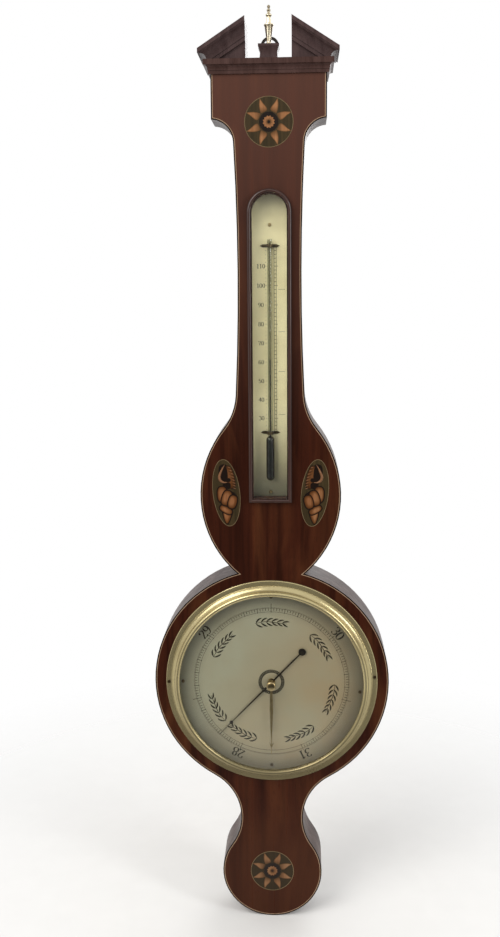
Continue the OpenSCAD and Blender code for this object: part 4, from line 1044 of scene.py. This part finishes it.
# A row gives the place across and up from the middle, the half length and the half width, all in
# millimetres, then the lean in degrees, the taper and the shade.
LOBES = [
    (-1.9, 19.2, 10.6, 5.6, 8.0, 0.0, BURNT),
    (3.9, 16.2, 12.6, 4.6, 13.0, 0.0, BROWN),
    (-1.8, 20.4, 8.0, 3.2, 6.0, 0.0, BURNT),
    (2.4, 13.4, 2.1, 2.1, 0.0, 0.0, BURNT),
    (0.4, 7.6, 3.6, 4.2, 0.0, 0.0, BURNT),
    (0.7, -24.6, 7.6, 3.7, -3.0, 0.55, PALE),
    (-0.5, -17.6, 6.9, 3.3, 60.0, 0.0, PALE),
    (0.8, -5.0, 8.2, 10.4, -24.0, 0.0, BURNT),
    (-4.2, -1.6, 8.3, 4.9, 2.0, 0.0, PALE),
    (0.2, -5.3, 8.0, 4.8, -17.0, 0.0, PALE),
    (6.2, -9.3, 7.0, 4.4, -14.0, 0.0, PALE),
]
MARGIN, SQUARE = 0.95, 2.7
LOBE_LIFT, LOBE_STEP = 0.03 * MM, 0.012 * MM
INNER_PALE = 0.44


def on_shell(point, side):
    return side * (SHELL_X - point[0] * MM), SHELL_Z + point[1] * MM


def add_lobe(bm, lobe, side, lift, margin=0.0):
    across, up, half_l, half_w, lean, taper, pale = lobe
    old, face = new_disc(bm, segments=28)
    for vert in face.verts:
        vert.co *= sum(abs(c) ** SQUARE for c in vert.co) ** (-1.0 / SQUARE)
        vert.co.x *= 1.0 + taper * vert.co.y
    x, z = on_shell((across, up), side)
    shape = leaned_oval((half_w + margin) * MM, (half_l + margin) * MM, side * lean)
    put = Matrix.Translation((x, inlay_front - lift, z)) @ shape

    def tone(co):
        depth = 1.0 if co.length < 0.2 else INNER_PALE
        return pale * depth * (1.0 + 0.7 * side * co.x + 0.3 * co.y)

    lay_slip(bm, old, face, put, lift, tone)


bm = slip_mesh()
for side in (-1, 1):
    lift = LOBE_LIFT
    for lobe in LOBES:
        if lobe[-1] == PALE:
            lift += LOBE_STEP
            add_lobe(bm, (*lobe[:-1], BURNT), side, lift, MARGIN)
        lift += LOBE_STEP
        add_lobe(bm, lobe, side, lift)
shell_lobes = finish_piece("shell_lobes", bm, shell_wood)
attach(shell_lobes, "case")
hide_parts("shell_whorls")

# %% [markdown]
# The outer lip of the mouth is one bent slip that swells in its middle and curls in under the
# hollow. The inner side has a fringe of short teeth, cut apart by fine scorched lines. Both are
# drawn as strokes, as the engraving is.

# %% Shell mouths
LIP = [(-1.4, 29.4), (-4.6, 23.6), (-7.0, 17.0), (-5.8, 12.8), (-2.6, 11.0), (1.2, 11.0)]
FRINGE = [(2.4, 27.6), (5.4, 21.5), (7.1, 15.0), (8.2, 9.0), (8.4, 4.0)]
FRINGE_FALL = 0.35
FRINGE_TOOTH, FRINGE_NOTCH = (-1.6, 0.0, 1.6), (-3.6, -1.4, 0.6)


def across_fringe(point, offsets, side):
    return [on_shell((point[0] + d, point[1] - FRINGE_FALL * d), side) for d in offsets]


lip_strokes, notch_strokes = [], []
for side in (-1, 1):
    lip_strokes.append(swelling([on_shell(p, side) for p in smooth(LIP)], 2.8 * MM))
    fringe = smooth(FRINGE, 4)
    for k in range(1, len(fringe) - 1, 2):
        lip_strokes.append(swelling(across_fringe(fringe[k], FRINGE_TOOTH, side), 0.8 * MM))
        notch_strokes.append(swelling(across_fringe(fringe[k + 1], FRINGE_NOTCH, side), 0.3 * MM))
lips_front = inlay_front - 0.1 * MM
engrave("shell_lips", lip_strokes, lips_front, mouth_wood)
notches_front = lips_front - 0.02 * MM
engrave("shell_notches", notch_strokes, notches_front, black_wax)

# %% [markdown]
# The thermometer plate has Fahrenheit figures to the left of the tube and a ladder of degrees to
# the right of it. The same strokes of wax draw them, because they stay sharp however near the view
# comes. All heights come from one function, so the marks and the figures agree.

# %% Thermometer engraving
DEGREE, THIRTY_Z = 1.888 * MM, dial_at.z + 278.4 * MM
FIRST_DEGREE, LAST_DEGREE = 22, 120
LADDER, LADDER_W = (4.2 * MM, 6.4 * MM), 0.34 * MM
RUNG_W, TEN_REACH = 0.4 * MM, 1.4 * MM
LEFT_MARK, LEFT_W = (-4.6 * MM, -3.6 * MM), 0.3 * MM
TEN_MARK, LEVEL_LINE, FINE_W = (-4.8 * MM, -3.0 * MM), (8.4 * MM, 15.0 * MM), 0.25 * MM
LEVELS = (32, 55, 76, 98)
FIGURE_X, SMALL_H = -9.0 * MM, 4.0 * MM


def degree_z(value):
    return THIRTY_Z + (value - 30) * DEGREE


def degree_line(value, span, width):
    return line((span[0], degree_z(value)), (span[1], degree_z(value)), width)


scale_strokes = []
for x in LADDER:
    foot, head = (x, degree_z(FIRST_DEGREE)), (x, degree_z(LAST_DEGREE))
    scale_strokes.append(line(foot, head, LADDER_W))
for value in range(FIRST_DEGREE, LAST_DEGREE + 1, 2):
    reach = LADDER[1] + (0.0 if value % 10 else TEN_REACH)
    scale_strokes.append(degree_line(value, (LADDER[0], reach), RUNG_W))
    scale_strokes.append(degree_line(value, LEFT_MARK, LEFT_W))
for value in range(30, 111, 10):
    scale_strokes += number(str(value), (FIGURE_X, degree_z(value)), SMALL_H, 0.0, 0.17, 0.06)
    scale_strokes.append(degree_line(value, TEN_MARK, FINE_W))
for value in LEVELS:
    scale_strokes.append(degree_line(value, LEVEL_LINE, FINE_W))
engrave("thermo_engraving", scale_strokes, scale_low.y, black_wax)

# %% [markdown]
# Three pieces inside the case change their length as the hand turns: the silk to the float, the
# silk to the counterweight and the mercury under the float. Each is a cylinder with points only at
# its two ends. One end stays with the case and the other goes with the body that moves, so it is
# straight at every pose, as a taut silk is.

# %% Silks and mercury that change length
def stretching(node, moving, low_end_moves, finish):
    low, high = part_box(node)
    centre, radius, length = (low + high) / 2, (high.x - low.x) / 2, high.z - low.z
    bm = bmesh.new()
    sizes = {"radius1": radius, "radius2": radius, "depth": length}
    bmesh.ops.create_cone(bm, cap_ends=True, segments=24, **sizes)
    bmesh.ops.translate(bm, vec=centre, verts=bm.verts)
    for face in bm.faces:
        face.smooth = len(face.verts) == 4
    piece = finish_piece(node + "_run", bm, finish)
    bottom, top = Vector((centre.x, centre.y, low.z)), Vector((centre.x, centre.y, high.z))
    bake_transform(piece, "case", moving, *((top, bottom) if low_end_moves else (bottom, top)))
    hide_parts(node)
    print(piece.name + ":", round(length / MM, 1), "mm long at rest")


stretching("float_thread", "float", True, waxed_silk)
stretching("counterweight_thread", "counterweight", True, waxed_silk)
stretching("mercury_surface", "float", False, quicksilver)

# %% [markdown]
# The camera stands a little above the middle of the case and looks down at it, slightly from the
# right, as the photograph was taken. Its focal length in pixels of the 500 by 937 picture, its
# place and its turn were found by fitting known points of the case.

# %% Camera
PICTURE_H, FOCAL_PX, SENSOR = 937, 1000.0, 36.0
CAMERA_AT = Vector((0.0325, -1.0402, dial_at.z + 0.4126))
YAW, PITCH, ROLL = math.radians(-3.06), math.radians(-10.47), math.radians(-0.49)

camera_data = bpy.data.cameras.new("camera")
camera_data.sensor_fit = "AUTO"
camera_data.sensor_width = SENSOR
camera_data.lens = FOCAL_PX * SENSOR / PICTURE_H
camera = bpy.data.objects.new("camera", camera_data)
bpy.context.scene.collection.objects.link(camera)
heading = Matrix.Rotation(-YAW, 4, "Z") @ Matrix.Rotation(math.pi / 2 + PITCH, 4, "X")
camera.matrix_world = Matrix.Translation(CAMERA_AT) @ heading @ Matrix.Rotation(ROLL, 4, "Z")
bpy.context.scene.camera = camera
print("lens, mm:", round(camera_data.lens, 2))

# %% [markdown]
# The light is a plain studio. The world is white to the camera and a soft grey to everything else.
# Only sharp reflections and what is seen through glass show more: a room that is pale above, beside
# and behind and dark in front, so that brass and varnish keep their depth.

# %% World
SOFT, DARK_FRONT = 0.65, 0.1
world = bpy.data.worlds.new("studio")
bpy.context.scene.world = world
world.use_nodes = True
sky = world.node_tree
rays = add(sky, "LightPath").outputs
towards = add(sky, "SeparateXYZ", {0: add(sky, "TexCoord").outputs["Generated"]}).outputs
above = ramp(sky, towards["Z"], 0.0, 0.35, DARK_FRONT, 1.0)
beside = ramp(sky, calc(sky, "ABSOLUTE", towards["X"]), 0.3, 0.75, 0.0, 0.85)
behind = ramp(sky, towards["Y"], 0.0, 0.5)
room = calc(sky, "MAXIMUM", calc(sky, "MAXIMUM", above, beside), behind)
sharp = calc(sky, "LESS_THAN", rays["Diffuse Depth"], 0.5)
seen_in_glass = calc(sky, "MAXIMUM", rays["Is Glossy Ray"], rays["Is Transmission Ray"])
mirrored = calc(sky, "MULTIPLY", seen_in_glass, sharp)
strength = calc(sky, "MULTIPLY_ADD", mirrored, calc(sky, "SUBTRACT", room, SOFT), SOFT)
to_white = calc(sky, "SUBTRACT", 1.0, strength)
backdrop = sky.nodes["Background"].inputs
feed(sky, backdrop["Color"], (1.0, 1.0, 1.0))
whole = calc(sky, "MULTIPLY_ADD", rays["Is Camera Ray"], to_white, strength)
feed(sky, backdrop["Strength"], whole)
print("world:", len(sky.nodes), "nodes")

# %% [markdown]
# A large soft lamp stands high on the left and a narrow one on the right. A third stands behind, so
# that the back is not dull in the other views.

# %% Lamps
AIM = Vector((0.0, 0.0, dial_at.z + 0.2))


def soft_lamp(name, at, size, watts, colour):
    data = bpy.data.lights.new(name, "AREA")
    data.shape = "RECTANGLE"
    data.size, data.size_y = size
    data.energy = watts
    data.color = colour
    lamp = bpy.data.objects.new(name, data)
    bpy.context.scene.collection.objects.link(lamp)
    lamp.location = at
    lamp.rotation_mode = "QUATERNION"
    lamp.rotation_quaternion = (AIM - Vector(at)).to_track_quat("-Z", "Y")
    print(name, "lamp:", watts, "W")


soft_lamp("key", (-1.1, -1.3, 0.75), (1.2, 1.6), 26.0, (1.0, 0.98, 0.95))
soft_lamp("fill", (1.4, -1.0, 0.1), (0.4, 1.0), 10.0, (0.98, 0.99, 1.0))
soft_lamp("back", (0.6, 1.5, 0.5), (1.2, 1.2), 10.0, (1.0, 1.0, 1.0))

# %% [markdown]
# The floor is a pale disc under the foot of the case. It keeps the shadow and fades out before its
# rim, so that no edge shows, and from below it lets the view through.

# %% Floor
FLOOR_R = 0.7
FADE_FROM, FADE_TO = 0.25 * FLOOR_R, 0.95 * FLOOR_R
bm = bmesh.new()
bmesh.ops.create_circle(bm, cap_ends=True, segments=64, radius=FLOOR_R)
bmesh.ops.translate(bm, vec=(0.0, 0.0, floor_z), verts=bm.verts)
floor_mesh = bpy.data.meshes.new("floor")
bm.to_mesh(floor_mesh)
bm.free()
floor = bpy.data.objects.new("floor", floor_mesh)
bpy.context.scene.collection.objects.link(floor)

floor_paint, tree, shader = material("pale_floor", {"Roughness": 0.9})
mottle = add(tree, "TexNoise", {"Vector": where(tree), "Scale": 30.0, "Detail": 3.0}).outputs["Fac"]
pale = blend(tree, mottle, (0.8, 0.79, 0.77), (0.85, 0.84, 0.82))
tree.links.new(pale, shader.inputs["Base Color"])
middle = {0: where(tree), 1: (0.0, 0.0, floor_z)}
reach = add(tree, "VectorMath", middle, operation="DISTANCE").outputs["Value"]
far = ramp(tree, reach, FADE_FROM, FADE_TO)
below = add(tree, "NewGeometry").outputs["Backfacing"]
gone = calc(tree, "MAXIMUM", far, below)
clear = add(tree, "BsdfTransparent").outputs[0]
faded = add(tree, "MixShader", {0: gone, 1: shader.outputs[0], 2: clear}).outputs[0]
tree.links.new(faded, tree.nodes["Material Output"].inputs["Surface"])
floor_mesh.materials.append(floor_paint)
bpy.context.scene.view_settings.view_transform = "Standard"
print("floor at", round(floor_z, 4))
